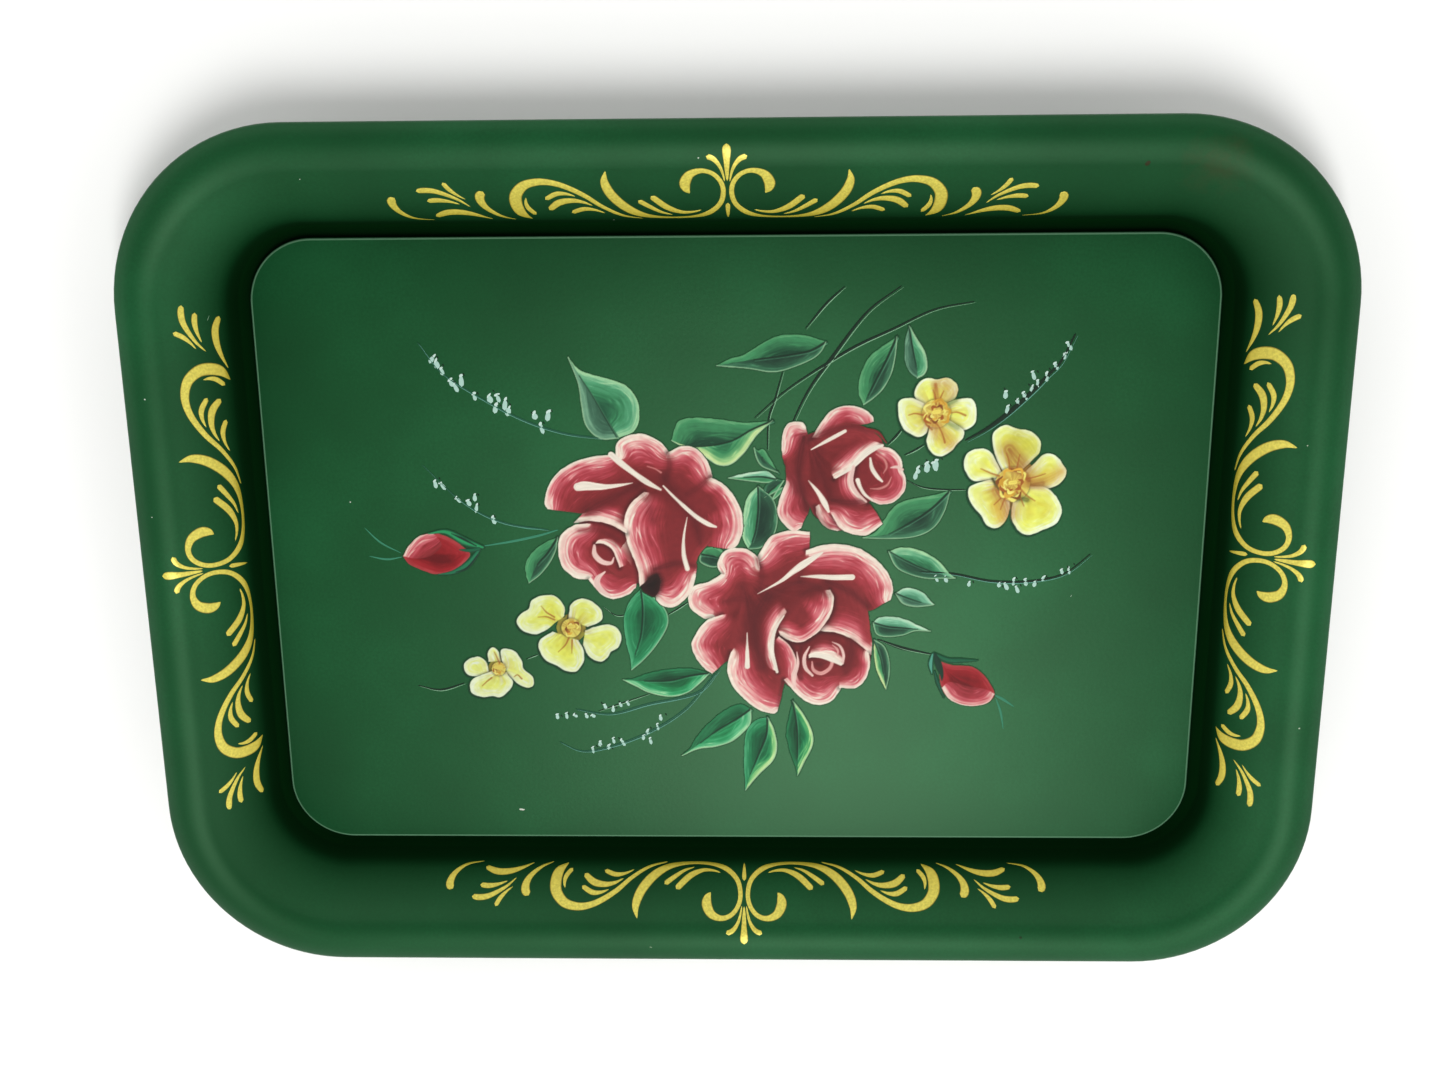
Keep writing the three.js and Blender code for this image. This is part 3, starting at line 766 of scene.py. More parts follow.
# Each yellow flower: its petals' outlines from the heart outwards and round, its heart, and dark veins
yellowFlowers = {
    "yellow_flower_left": {
        "heart": (-64.5, -31), "size": 3.9, "warmth": 0.45, "shade": 0.95, "glazes": (),
        "petals": (
            ((-67, -26), (-67, -22), (-70, -18), (-75, -17.5), (-79.5, -19.5), (-81, -23), (-84, -25),
             (-86, -28), (-85, -31), (-82, -33), (-78, -33.5), (-74, -31.5)),
            ((-65.5, -27.5), (-65, -24), (-64, -21), (-60.5, -19), (-56, -20), (-52.5, -23.5), (-52, -27),
             (-54, -29), (-58, -30.5)),
            ((-59, -32), (-55, -30.5), (-50, -29.5), (-46, -31.5), (-44.7, -35), (-46, -39), (-49, -41),
             (-51, -44), (-54, -45), (-58, -42.5), (-60, -38)),
            ((-72, -32.5), (-77, -36), (-77.5, -40), (-75, -44.5), (-71, -46.5), (-67, -49), (-63, -49),
             (-60, -45), (-60, -40), (-62, -36)),
        ),
        "veins": (((-76, -22), (-74, -24.5), (-71, -26.5)), ((-77.5, -26.5), (-74, -26.4), (-71, -27.6)),
                  ((-70, -41), (-67, -38), (-65.5, -35)), ((-64.6, -41.5), (-64.3, -36))),
    },
    "yellow_flower_far_left": {
        "heart": (-94, -48), "size": 2.8, "warmth": 0.4, "shade": 0.94, "glazes": (),
        "petals": (
            ((-98, -50), (-99, -45), (-102, -43), (-106, -44), (-108, -47), (-106.5, -50.5), (-102, -51.5)),
            ((-92, -45), (-94, -40.5), (-96, -39), (-98, -41), (-98, -45)),
            ((-92, -47), (-93, -41), (-91, -39.5), (-87, -41), (-84.5, -45), (-84, -48), (-80.5, -51.5),
             (-80.5, -55), (-83, -56), (-87, -54), (-90, -51)),
            ((-97, -49), (-104, -52), (-106, -55), (-105, -58.5), (-101, -60), (-97, -59.5), (-94, -60),
             (-91, -58), (-88.5, -54), (-91, -49.5)),
        ),
        "veins": (((-95.5, -41), (-94.6, -43), (-93.6, -45.6)), ((-88, -51.4), (-86.6, -50.6), (-85, -52.2)),
                  ((-101, -55.3), (-99, -53.4), (-97, -51.8))),
    },
    "yellow_flower_top": {
        "heart": (77, 54), "size": 5.4, "warmth": 0.42, "shade": 1.02,
        "glazes": (
            (((76.4, 65), (77, 60)), 2.2, "#ab6a34", 0.7),
            (((79.5, 65.5), (82.5, 62), (80.5, 58.5)), 6.0, "#c08c48", 0.42),
            (((76, 49), (79.5, 46), (82.5, 42.5)), 5.5, "#c08244", 0.48),
            (((72, 53.6), (75, 50.6)), 3.0, "#b07a3c", 0.4), (((81.5, 57.5), (84, 59)), 2.4, "#6d8a48", 0.5),
            (((82, 50), (85, 48.6)), 2.4, "#7d9450", 0.5),
        ),
        "petals": (
            ((72, 57), (68.5, 61), (70, 65.5), (73, 67.5), (77, 67), (81, 67.5), (84.5, 65), (84.5, 61),
             (82, 57)),
            ((72, 58), (69, 59.5), (66.5, 60), (63, 59), (62.5, 55), (63.5, 50.5), (65.5, 47.5), (70, 45),
             (73.5, 46.5), (75, 51)),
            ((79, 57), (82, 58.5), (85, 59.5), (90, 59.5), (92, 56), (92, 51), (90, 48.5), (86, 47.5),
             (81, 49.5)),
            ((75, 51), (74, 46), (73.5, 43), (75.5, 39), (79, 37.5), (83, 39.5), (85, 42), (87.5, 45),
             (87, 48), (81, 52)),
        ),
        "veins": (((75.5, 63), (76.4, 60.5), (76.8, 57.5)), ((79.5, 62.5), (78.4, 60), (78, 57.5)),
                  ((66.5, 53.4), (69, 54), (72, 53.4)), ((82.5, 54.2), (85, 54.4), (88, 53.2)),
                  ((74, 51.8), (77.5, 49.6), (79.5, 46), (80.5, 42.8)), ((74.5, 53.6), (73, 50.4),
                                                                         (75.5, 47.8))),
    },
    "yellow_flower_right": {
        "heart": (106.8, 26.6), "size": 6.6, "warmth": 0.42, "shade": 1.02,
        "glazes": (
            (((105, 40), (107.5, 36.5), (110.5, 33)), 6.5, "#a26c34", 0.7),
            (((108, 45.5), (112, 42.5), (114.5, 39)), 6.0, "#b5ac34", 0.45),
            (((112, 28.5), (117, 27.6), (122, 29.5), (125, 31.4)), 5.0, "#c48636", 0.5),
            (((114, 26.2), (118, 26.8)), 2.6, "#96642e", 0.6),
            (((101, 24), (103.5, 20), (105.4, 15)), 5.5, "#b0703a", 0.65),
            (((100.6, 18), (103, 12.5)), 4.0, "#d6aa44", 0.55),
            (((108, 21.2), (112.5, 20.4)), 2.2, "#3f4a20", 0.6),
            (((117, 19), (121, 17.5), (119, 14.5)), 2.6, "#d2c040", 0.4),
            (((99, 28.6), (101, 25.6), (104, 22.6)), 1.1, "#3c3a1c", 0.7),
            (((106, 32.4), (110, 31.2), (112.8, 28)), 1.6, "#8a4c22", 0.7),
        ),
        "petals": (
            ((103, 31), (100, 37), (98.5, 43), (99, 47), (103, 49.5), (108, 48), (113, 47), (116.5, 43.5),
             (116.5, 39), (114, 36), (109, 31)),
            ((101, 28), (96, 28), (91.5, 28), (88.5, 32), (88, 36), (89.5, 39), (94, 40.5), (98, 39),
             (100.5, 35), (103, 30)),
            ((109, 27), (111, 31), (115, 35), (118, 38), (122, 38), (125, 35), (127, 31), (125, 27),
             (121, 25), (115, 24.5)),
            ((103, 28), (99, 28.5), (91, 26), (90, 22), (92, 18), (95, 14.5), (98, 10), (102, 9.5),
             (105, 13), (106, 18), (105.5, 24)),
            ((108, 25), (107, 19), (107, 13), (110, 8), (114, 6.5), (119, 8.5), (124, 11), (126, 16),
             (124, 21), (120, 25), (114, 26)),
        ),
        "veins": (((104, 38.5), (105, 35.5), (105.4, 32)), ((109, 38), (108.5, 35), (108, 32)),
                  ((94.5, 32.6), (98, 31), (101.5, 29.8)), ((119, 30.6), (115.5, 29.4), (112, 28.6)),
                  ((100, 18.5), (102.4, 21), (104.2, 23.6)), ((102.5, 16.6), (103.6, 20), (104.8, 23)),
                  ((111.4, 18), (110, 21), (108.4, 23.6)), ((115.5, 20), (112.5, 22), (110, 24.4))),
    },
}


def paintYellowFlower(name, flower, seed, material):
    corners = np.vstack(flower["petals"])
    canvas = newCanvas(corners.min(0) - 2, corners.max(0) + 2, paint["fineStep"])
    centre, size = np.array(flower["heart"]), flower["size"]
    turned = np.linspace(0, 2 * np.pi, 13)[:, None]
    heart = centre + size * np.hstack([np.cos(turned), np.sin(turned)])
    under = centre + 1.5 * (heart - centre)
    petal(canvas, under, (), ((0.0, "#9a963c"), (1.0, "#a89a40")), size, seed, shade=0.1)
    for i, outline in enumerate(flower["petals"]):
        contour = np.array(outline) + (-0.25, -0.3)
        dab(canvas, contour, np.full(len(contour), 0.7), "#143420", seed, amount=0.6, relief=0.6)
        petal(canvas, outline, (), yellowTones, 8, seed + 7 * i, band=0.9, shade=1.4, streak=0.3)
    petal(canvas, heart, (), heartTones, size, seed, shade=1.2)
    # A warm glaze spreads from the heart in rays, and the heart itself is a ring of short curled dabs
    x, y = canvas["x"] - centre[0], canvas["y"] - centre[1]
    radius, angle = np.hypot(x, y), np.arctan2(y, x)
    rays = softNoise(angle * 7 + 60, radius / 9, seed + 3)
    warm = np.clip(1.15 - radius / (size * 2.2), 0, 1) * np.clip(3.4 * rays - 1.1, 0, 1)
    warm = np.clip(flower["warmth"] * warm, 0, 0.8)[..., None]
    canvas["colour"] = canvas["colour"] * (1 - warm) + sRgb("#a8783a") * warm
    for points, width, colour, amount in flower["glazes"]:
        glaze(canvas, points, width, colour, amount)
    for points in flower["veins"]:
        dab(canvas, points, np.linspace(0.35, 0.75, len(points)), rust, seed, amount=0.7, relief=1.0)
    draws = np.random.default_rng(seed)
    for i in range(int(size * 3.5)):
        curl = draws.uniform(0, 2 * np.pi) + draws.choice([-1, 1]) * np.array([0, 0.4, 0.9])
        reach = size * draws.uniform(0.35, 1.0) * np.array([0.75, 1.0, 0.85])
        ends = centre + np.stack([np.cos(curl), np.sin(curl)], -1) * reach[:, None]
        colour = (lemon, "#e0b148", rust, "#f0e684", ochre, "#8a5426")[i % 6]
        dab(canvas, ends, (0.4, size * draws.uniform(0.14, 0.26), 0.4), colour, seed + i, relief=1.8)
    dab(canvas, (centre + (-0.9, 0.5), centre + (0.9, 0.7)), (1.5, 1.7), "#ead86a", seed, relief=2)
    canvas["colour"] *= flower["shade"]
    dryPaint(name, canvas, material, layer=2)


deepGreen = ((0.0, "#4a8562"), (0.2, "#306146"), (0.55, "#244b37"), (1.0, "#16382a"))
midGreen = ((0.0, "#69aa78"), (0.2, "#469362"), (0.5, "#40875a"), (0.8, "#2a6644"), (1.0, "#1b4a33"))
mintGreen = ((0.0, "#a9d7a6"), (0.16, "#86bf94"), (0.35, "#5aa57a"), (0.7, "#3a8459"), (1.0, "#245f42"))
limeGreen = ((0.0, "#d6e8a8"), (0.2, "#b4d894"), (0.4, "#7db77c"), (0.65, "#3f8f5e"), (1.0, "#22613f"))
paleMint = ((0.0, "#c4e4c6"), (0.2, "#a4d4b2"), (0.5, "#7fbd9a"), (1.0, "#4b8c6b"))
tealShadow = ((0.0, "#7aa98a"), (0.3, "#47745c"), (1.0, "#27503c"))
# The leaves below the lower rose are laid on thicker and are more saturated
lushDeep = ((0.0, "#2c8254"), (0.3, "#1d6640"), (1.0, "#0a3a22"))
lushMid = ((0.0, "#5cb080"), (0.2, "#2f8f5e"), (0.6, "#1b7448"), (1.0, "#0f5233"))
lushMint = ((0.0, "#a4d8a4"), (0.14, "#62b884"), (0.35, "#2f9a62"), (0.7, "#1c7d4a"), (1.0, "#126038"))
lushLime = ((0.0, "#cbe6a4"), (0.15, "#9ed48c"), (0.3, "#58ad6c"), (0.6, "#1f8050"), (1.0, "#0f5833"))

# Each leaf from its heel to its tip: the heel, one side, the tip, the other side from the heel again,
# the midrib between heel and tip, and the greens of both sides
leaves = {
    "leaf_upper_left": ((-44, 45),
                        ((-38, 47.5), (-35.7, 53), (-36.5, 60), (-41, 65.5), (-50, 68.5), (-57.5, 71)),
                        (-62, 76), ((-51, 45), (-56, 50), (-57.5, 58), (-58.5, 66)),
                        ((-48, 52), (-53, 61), (-58, 69)), mintGreen, tealShadow),
    "leaf_top": ((35, 81.2), ((30, 83), (24, 84), (17, 83.5), (10, 80), (4, 76.5), (-1, 75)), (-6, 72.6),
                 ((33, 77.5), (29, 74.5), (20, 71), (14, 70.2), (6, 71.5)),
                 ((29, 78), (20, 76.3), (8, 74.8)), midGreen, deepGreen),
    "leaf_middle": ((15, 51.5), ((5, 50.8), (-6, 52.2), (-15, 52.7), (-21, 51)), (-23.5, 44),
                    ((9, 46), (4, 39), (-1, 34.8), (-6, 34.5), (-12, 38.5), (-19, 41.5)),
                    ((7, 48), (0, 44), (-8, 42), (-16, 41.5)), midGreen, limeGreen),
    "leaf_upper_right": ((61.5, 83), ((57, 80), (51, 75), (48, 68), (47.5, 62)), (49.5, 57.5),
                         ((61, 76), (59.5, 69), (56.5, 63.5), (53, 60)), ((58, 75), (54, 67), (51, 61)),
                         midGreen, deepGreen),
    "leaf_small_top": ((66, 87), ((64.5, 80), (65, 73), (67, 69.5)), (69.5, 67.5),
                       ((69, 82), (72, 77), (73, 72), (72, 69)), ((67.5, 79), (69, 72)), tealShadow,
                       mintGreen),
    "leaf_right": ((83, 24), ((75.5, 22), (68, 20.8), (62, 18), (58, 12.5), (55, 8)), (50, 5.5),
                   ((81, 16), (77, 9.5), (70, 6), (60, 5.2)), ((76, 17), (68, 11.5), (60, 7)), midGreen,
                   deepGreen),
    "leaf_right_low": ((60, 0), ((65, 1.6), (72, 0.4), (79, -3.5), (83, -8)), (86, -10.8),
                       ((63, -6), (68, -9), (75, -10.8), (81, -10.8)), ((67, -4), (75, -7.5), (81, -9.5)),
                       mintGreen, deepGreen),
    "leaf_small_right": ((63, -17), ((66, -15), (70, -15), (74, -17)), (78, -21.5),
                         ((66, -21), (71, -22.3), (75, -22)), ((68, -19), (73, -20.6)), paleMint,
                         tealShadow),
    "leaf_lower_right": ((54.5, -29), ((57, -26.7), (63, -26.6), (68, -28), (72, -30)), (77, -32.4),
                         ((56, -33.5), (60, -34.6), (66, -34), (71, -32.2)),
                         ((60, -30.5), (66, -31), (72, -31.6)), paleMint, deepGreen),
    "leaf_tail_right": ((55, -36), ((55, -42), (56, -48), (58, -53)), (60, -56.5),
                        ((59, -39), (61, -45), (61, -51)), ((57.5, -43), (58.8, -50)), limeGreen, deepGreen),
    "leaf_lower_left": ((6.3, -65), ((2, -63), (-4, -65.5), (-10, -70.5), (-15.5, -77), (-18, -81.5)),
                        (-21.5, -85), ((6, -71), (2.5, -75.5), (-2, -79), (-8, -81), (-15, -82)),
                        ((1, -69), (-7, -74), (-14, -79.5)), lushDeep, lushMint),
    "leaf_lower_middle": ((13, -68.5), ((8, -70), (4.5, -75), (3.5, -84), (3.7, -93)), (4, -100),
                          ((15.5, -74), (16.6, -81), (15, -87), (9, -93.5)),
                          ((12.5, -76), (9.5, -84), (6, -93)), lushMid, lushLime),
    "leaf_lower_end": ((23, -61.5), ((21.5, -69), (20.5, -76), (22.3, -84), (24, -89)), (25, -93.5),
                       ((27, -67), (30.5, -74), (31, -80), (28, -87)), ((24.5, -70), (25, -78), (25, -86)),
                       lushDeep, lushLime),
    "leaf_bottom_left": ((-10, -49.8), ((-17, -48), (-25, -48.2), (-34, -49.8), (-40, -52)), (-44.5, -52.6),
                         ((-14, -54), (-19, -58), (-26, -59.6), (-34, -58), (-40, -55)),
                         ((-18, -51), (-26, -53), (-36, -53.2)), lushDeep, lushMint),
    "leaf_between": ((-36.5, -15), ((-41, -20), (-43.5, -27), (-43, -36), (-41.5, -43)), (-41, -48.5),
                     ((-31.5, -18.5), (-27, -24), (-26.5, -30), (-31, -38), (-36, -44)),
                     ((-36, -24), (-37, -34), (-39.5, -42)), lushMid, lushMid),
    "leaf_small_left": ((-68.5, 6), ((-74, 3.5), (-79, -0.5), (-81.5, -5), (-81.5, -9)), (-80.5, -12.5),
                        ((-69.5, 1), (-72, -4), (-76, -9)), ((-72.5, 0), (-77, -5)), midGreen, deepGreen),
    "leaf_centre": ((9.5, 26), ((5.5, 22), (3.6, 14), (3.4, 6)), (5.5, 1),
                    ((15, 21), (16.8, 14), (15.5, 7), (11, 2)), ((9.5, 17), (8.5, 9), (7, 4)), mintGreen,
                    deepGreen),
    "leaf_centre_top": ((17, 31.5), ((14, 37), (11.5, 40.5), (9.5, 40)), (8, 41),
                        ((15.5, 32), (11, 34), (9, 37)), ((13.5, 34.5), (11, 37.5)), midGreen, deepGreen),
    "leaf_centre_side": ((17, 28.5), ((13, 31.8), (7, 31.5), (2, 30.5)), (-2, 29.3),
                         ((13, 27.5), (8, 28), (3, 28.6)), ((11, 29.7), (4, 29.6)), paleMint, midGreen),
    "leaf_behind": ((-13, -1), ((-11, 1.5), (-7, 2), (-4, 0)), (-2.5, -3), ((-13, -4), (-9, -6), (-5, -5.4)),
                    ((-9.5, -1.6), (-6, -2.4)), midGreen, deepGreen),
    "leaf_bud": ((12, 21.6), ((11.4, 24), (13, 27), (16, 28.6)), (19.3, 28.2),
                 ((19.4, 25.6), (17.6, 22.8), (15, 21)), ((14, 24), (16.5, 26)), deepGreen, midGreen),
}


def paintLeaf(name, leaf, seed, material):
    heel, oneSide, tip, otherSide, rib, oneTones, otherTones = leaf
    corners = np.vstack([heel, oneSide, tip, otherSide])
    canvas = newCanvas(corners.min(0) - 2, corners.max(0) + 2)
    wide = min(10.0, max(3.0, np.ptp(corners, axis=0).min() * 0.45))
    for side, sideTones, sideSeed in ((otherSide, otherTones, seed), (oneSide, oneTones, seed + 5)):
        petal(canvas, (heel, *side, tip), rib[::-1], sideTones, wide, sideSeed, band=0.95, shade=0.1,
              streak=0.28)
    dab(canvas, (heel, *rib), np.linspace(0.9, 0.25, len(rib) + 1), "#12301f", seed, amount=0.85, relief=0.8)
    shifted = np.array([heel, *rib]) + (0.5, -0.6)
    dab(canvas, shifted, np.linspace(0.5, 0.2, len(rib) + 1), "#6fb58c", seed, amount=0.5, relief=1.0)
    dab(canvas, (heel, *otherSide, tip), np.full(len(otherSide) + 2, 0.42), "#a6cda4", seed, amount=0.75)
    dryPaint(name, canvas, material, layer=1)


# The two rosebuds: outline, light side, sepals as dabs with their widths
buds = {
    "rosebud_left": {
        "outline": ((-129.5, -1.5), (-127, 2.5), (-122.5, 6.5), (-117, 7.8), (-111, 6), (-106, 2.5),
                    (-103, -0.5), (-106, -4.5), (-111, -7.8), (-117, -8.8), (-123, -7), (-127.5, -4.5)),
        "rim": ((-129.5, -1.5), (-127, 2.5), (-122.5, 6.5), (-117, 7.8)), "root": ((-114, 3), (-118, -1),
                                                                                   (-124, -2.5)),
        "sepals": ((((-119, 7.6), (-112, 8.2), (-105, 4.4), (-98, 2)), (0.5, 2.0, 3.2, 1.2), "#2f9a63"),
                   (((-110, 7.6), (-105.5, 5.4), (-100.5, 2.6)), (0.3, 0.9, 0.4), "#14382a"),
                   (((-116, -9), (-110, -8), (-104, -4.6), (-99.5, 1)), (0.4, 1.6, 2.4, 1.2), "#277a55"),
                   (((-109, -8), (-104.5, -6.3), (-100, -1)), (0.3, 0.8, 0.4), "#14382a"),
                   (((-107, 1), (-103, 0.8), (-99.5, 1.4)), (0.5, 1.6, 1.4), "#1f6a49")),
    },
    "rosebud_right": {
        "outline": ((81.5, -45), (86, -46.5), (93, -47), (97.5, -49.5), (101, -54), (103, -58.5),
                    (101, -61.8), (96, -63.5), (90, -63), (85, -60.5), (82, -56), (81, -50)),
        "rim": ((82, -56), (85, -60.5), (90, -63), (96, -63.5), (101, -61.8), (103, -58.5)),
        "root": ((99, -56.5), (91, -55), (85, -53.5)),
        "sepals": ((((78.5, -41.5), (84, -44.3), (90, -44.5), (95.8, -44.4)), (0.8, 2.0, 1.6, 0.3),
                    "#1f6a49"),
                   (((79, -42), (80.5, -46), (81.8, -50), (82, -53)), (1.4, 2.6, 1.6, 0.3), "#17402f"),
                   (((78, -42), (77.4, -46), (78, -50)), (0.8, 1.8, 0.4), "#5aa58d"),
                   (((79, -49), (80.5, -54), (83, -60)), (0.5, 1.2, 0.4), "#1f6048")),
    },
}
budTones = ((0.0, "#b24548"), (0.25, "#a2262d"), (0.6, "#8c1a20"), (1.0, "#701318"))


def paintBud(name, bud, seed, material):
    corners = np.array(bud["outline"], float)
    canvas = newCanvas(corners.min(0) - 5, corners.max(0) + 7, paint["fineStep"])
    petal(canvas, (*bud["outline"], bud["outline"][0]), (), budTones, 7, seed, shade=0.1)
    petal(canvas, bud["rim"], bud["root"], roseTones, 9, seed + 4, band=0.7, shade=1.0, streak=0.4,
          amount=0.9)
    for points, widths, colour in bud["sepals"]:
        dab(canvas, points, widths, colour, seed, side="#133a2a")
    dryPaint(name, canvas, material, layer=2)


flowerPaint = flowerPaintMaterial()
for i, (name, leaf) in enumerate(leaves.items()):
    paintLeaf(name, leaf, 500 + 11 * i, flowerPaint)
paintRose("left_rose", leftRose, 1, flowerPaint)
paintRose("right_rose", rightRose, 200, flowerPaint)
paintRose("lower_rose", lowerRose, 350, flowerPaint)
for i, (name, flower) in enumerate(yellowFlowers.items()):
    paintYellowFlower(name, flower, 900 + 20 * i, flowerPaint)
for i, (name, bud) in enumerate(buds.items()):
    paintBud(name, bud, 1200 + 20 * i, flowerPaint)
print("flowers painted")


pull = {"step": 0.7, "crown": 0.07}  # between a strip's rows, and how high it stands in its middle


def pullStrokes(name, strokes, place, layer, material, slotName):
    # Each stroke is a strip round its spline, which runs through (x, y, width) points: rows of seven
    # points across it, from flank to flank, with a low dome between. Its ends are round, because the
    # width there follows a semicircle. The strips of one kind of paint are one piece.
    across = np.array([-1.0, -0.82, -0.45, 0.0, 0.45, 0.82, 1.0])
    flat, faces, over, colours, count = [], [], [], [], 0
    for stroke, colour in strokes:
        stroke = np.asarray(stroke, float)
        length = np.linalg.norm(np.diff(stroke[:, :2], axis=0), axis=1).sum()
        route = spline(stroke, max(7, int(length / pull["step"])))
        travelled = np.r_[0, np.cumsum(np.linalg.norm(np.diff(route[:, :2], axis=0), axis=1))]
        half = np.maximum(route[:, 2], 0.06) / 2
        toEnd = np.clip(np.minimum(travelled, travelled[-1] - travelled) / half, 0, 1)
        half = half * np.sqrt(1 - (1 - toEnd) ** 2) + 0.004
        forward = np.gradient(route[:, :2], axis=0)
        forward /= np.linalg.norm(forward, axis=1)[:, None]
        aside = np.stack([forward[:, 1], -forward[:, 0]], -1)
        spread = (half[:, None] * across)[..., None]
        flat.append((route[:, None, :2] + aside[:, None] * spread).reshape(-1, 2))
        faces.append(gridFaces(len(route), len(across), offset=count))
        over.append(np.tile(across, len(route)))
        pigment = np.r_[linear(sRgb(colour)) * paint["dimmed"], 1.0]
        colours.append(np.tile(pigment, (len(route) * len(across), 1)))
        count += len(route) * len(across)
    flat, faces, over = np.vstack(flat), np.vstack(faces), np.concatenate(over)
    surface, normal = place(flat)
    lift = paint["film"] * (1 + 3 * layer) + pull["crown"] * (1 - over ** 2)
    points = surface + normal * lift[:, None]
    corner = points[faces]
    facing = np.cross(corner[:, 2] - corner[:, 0], corner[:, 3] - corner[:, 1])
    faces = np.where(((facing * normal[faces[:, 0]]).sum(1) < 0)[:, None], faces[:, ::-1], faces)
    cover = np.clip((1 - np.abs(over)) / 0.18, 0, 1)
    # gold paint takes the gutter's painted shade low on the wall; other paint takes none
    gutterShade = np.interp(flat[:, 1], *zip(*pan["gutterShade"])) if slotName == "gold_paint" else cover * 0
    attributes = {"over": over, "cover": cover, "pigment": np.vstack(colours), "gutterShade": gutterShade}
    piece = addPiece(name, points, faces, material, attributes, flatMap=flat)
    print(f"{name}: {len(strokes)} strokes, {len(piece.data.polygons)} faces")


def onPanel(flat):
    return np.column_stack([flat, np.full(len(flat), panelTop)]), np.tile([0.0, 0.0, 1.0], (len(flat), 1))


def onRim(side):
    # Along a side and outwards over its rim: (s, d) with d the developed distance from the panel's edge
    def place(flat):
        r, z, heading = (np.interp(flat[:, 1], developed, section[:, k]) for k in range(3))
        s, outward, upward = flat[:, 0], -np.sin(heading), np.cos(heading)
        zero = np.zeros(len(s))
        if side in ("back", "front"):
            sign = 1 if side == "back" else -1
            return (np.column_stack([s, sign * (halfPanel[1] + r), z]),
                    np.column_stack([zero, sign * outward, upward]))
        sign = 1 if side == "right" else -1
        return (np.column_stack([sign * (halfPanel[0] + r), s, z]),
                np.column_stack([sign * outward, zero, upward]))
    return place


# The gold scrolls: half of the motif as strokes of (along, outwards from the panel, width), with the
# same again mirrored; the palmette stands on the middle line. The short sides leave out two strokes.
palmette = (
    ((0, 36.6, 0.5), (0, 40, 1.2), (0, 45, 1.9), (0, 49.5, 2.7), (0, 51.6, 1.6)),
    ((0, 26.4, 1.0), (0, 24.6, 1.5), (0, 21.4, 1.0), (0, 18.8, 0.4)),
)
scrolls = {
    "palmetteSide": ((0.9, 36.4, 0.4), (1.5, 40, 0.8), (2.6, 43.5, 1.2), (4.6, 46.2, 1.7), (7.2, 47.3, 1.9)),
    "cScroll": ((13.4, 31, 0.4), (14.6, 33, 2.6), (14.9, 36, 3.5), (13, 39.8, 3.0), (9, 41.4, 2.0),
                (5, 40, 1.7), (2.2, 36, 1.6), (1.5, 31, 1.6), (3, 25.6, 1.7), (7.5, 21.3, 1.8),
                (14, 19.2, 1.3), (22, 18.9, 1.3), (30, 20.5, 2.1), (36.5, 24.5, 3.1), (41.3, 30.5, 3.3),
                (43.3, 36.5, 2.6), (42.6, 41.6, 0.3)),
    "dabInner": ((9.5, 23, 0.4), (13, 22.1, 0.9), (17, 22.2, 1.4), (22, 24.6, 2.2), (27.3, 29.8, 2.2)),
    "dabOuter": ((20, 20.8, 0.3), (24, 22.2, 1.0), (28, 24.8, 1.6), (32, 27.8, 1.9)),
    "hook": ((31, 18.3, 0.5), (38, 20.6, 1.0), (45, 25, 1.4), (51, 30.3, 1.8), (57, 34.3, 2.1),
             (62, 36.4, 2.4), (67, 36.9, 2.9), (72, 35.3, 3.4), (75.2, 31.3, 3.8), (75.8, 27, 3.9),
             (74.6, 22.6, 3.2), (71, 18.9, 0.3)),
    "hookComma": ((72, 29.6, 0.3), (72.3, 27, 1.1), (71.6, 24.4, 1.6), (69.2, 21.4, 1.4)),
    "featherHigh": ((54.3, 30, 0.3), (57.5, 31.2, 1.2), (61, 31.2, 1.9), (65.2, 28.6, 1.6)),
    "featherMiddle": ((48.5, 25.5, 0.3), (52, 27.3, 1.2), (56, 28, 2.0), (60.5, 27, 2.5), (64.3, 23.6, 1.8)),
    "featherLow": ((44.3, 21.9, 0.3), (48, 23.5, 1.0), (52, 23.9, 1.7), (56.3, 22.2, 1.5)),
    "tallComma": ((86.4, 32.6, 2.6), (87.9, 30.4, 3.0), (87.6, 27.2, 2.5), (85.6, 24, 1.7),
                  (81.6, 20.7, 1.0), (77, 18.4, 0.3)),
    "trioInner": ((93, 29, 0.3), (95.4, 30.9, 0.9), (97.8, 33.6, 1.6), (99.6, 37, 1.6)),
    "trioMiddle": ((91.8, 25.4, 0.3), (96, 29.2, 1.1), (102, 32.6, 1.9), (106, 33.4, 2.2), (109.3, 33, 1.8)),
    "trioOuter": ((95.3, 26.7, 0.3), (99, 28.1, 1.2), (102.8, 28.7, 1.9), (106.3, 28.3, 1.7)),
    "lowDab": ((85, 19, 0.3), (90, 21.4, 1.3), (95, 22.8, 2.1), (100, 22.8, 2.3), (104.5, 20.9, 1.6)),
    "endComma": ((117.2, 30, 2.4), (118.6, 28.4, 2.8), (118, 25.4, 2.3), (115.8, 22.4, 1.5),
                 (111.6, 19.6, 0.9), (105.5, 18.3, 0.3)),
}
motifs = {
    "gold_scrolls_back": {"side": "back", "centre": -1.0, "long": True, "stretch": (0.012, 0.045)},
    "gold_scrolls_front": {"side": "front", "centre": 3.5, "long": True},
    "gold_scrolls_left": {"side": "left", "centre": -1.5, "long": False},
    "gold_scrolls_right": {"side": "right", "centre": 2.4, "long": False},
}
shortSideShift = {"trioInner": (-9.5, 2), "trioMiddle": (-9.5, 2), "trioOuter": (-9.5, 2),
                  "lowDab": (-9.6, 0.4)}
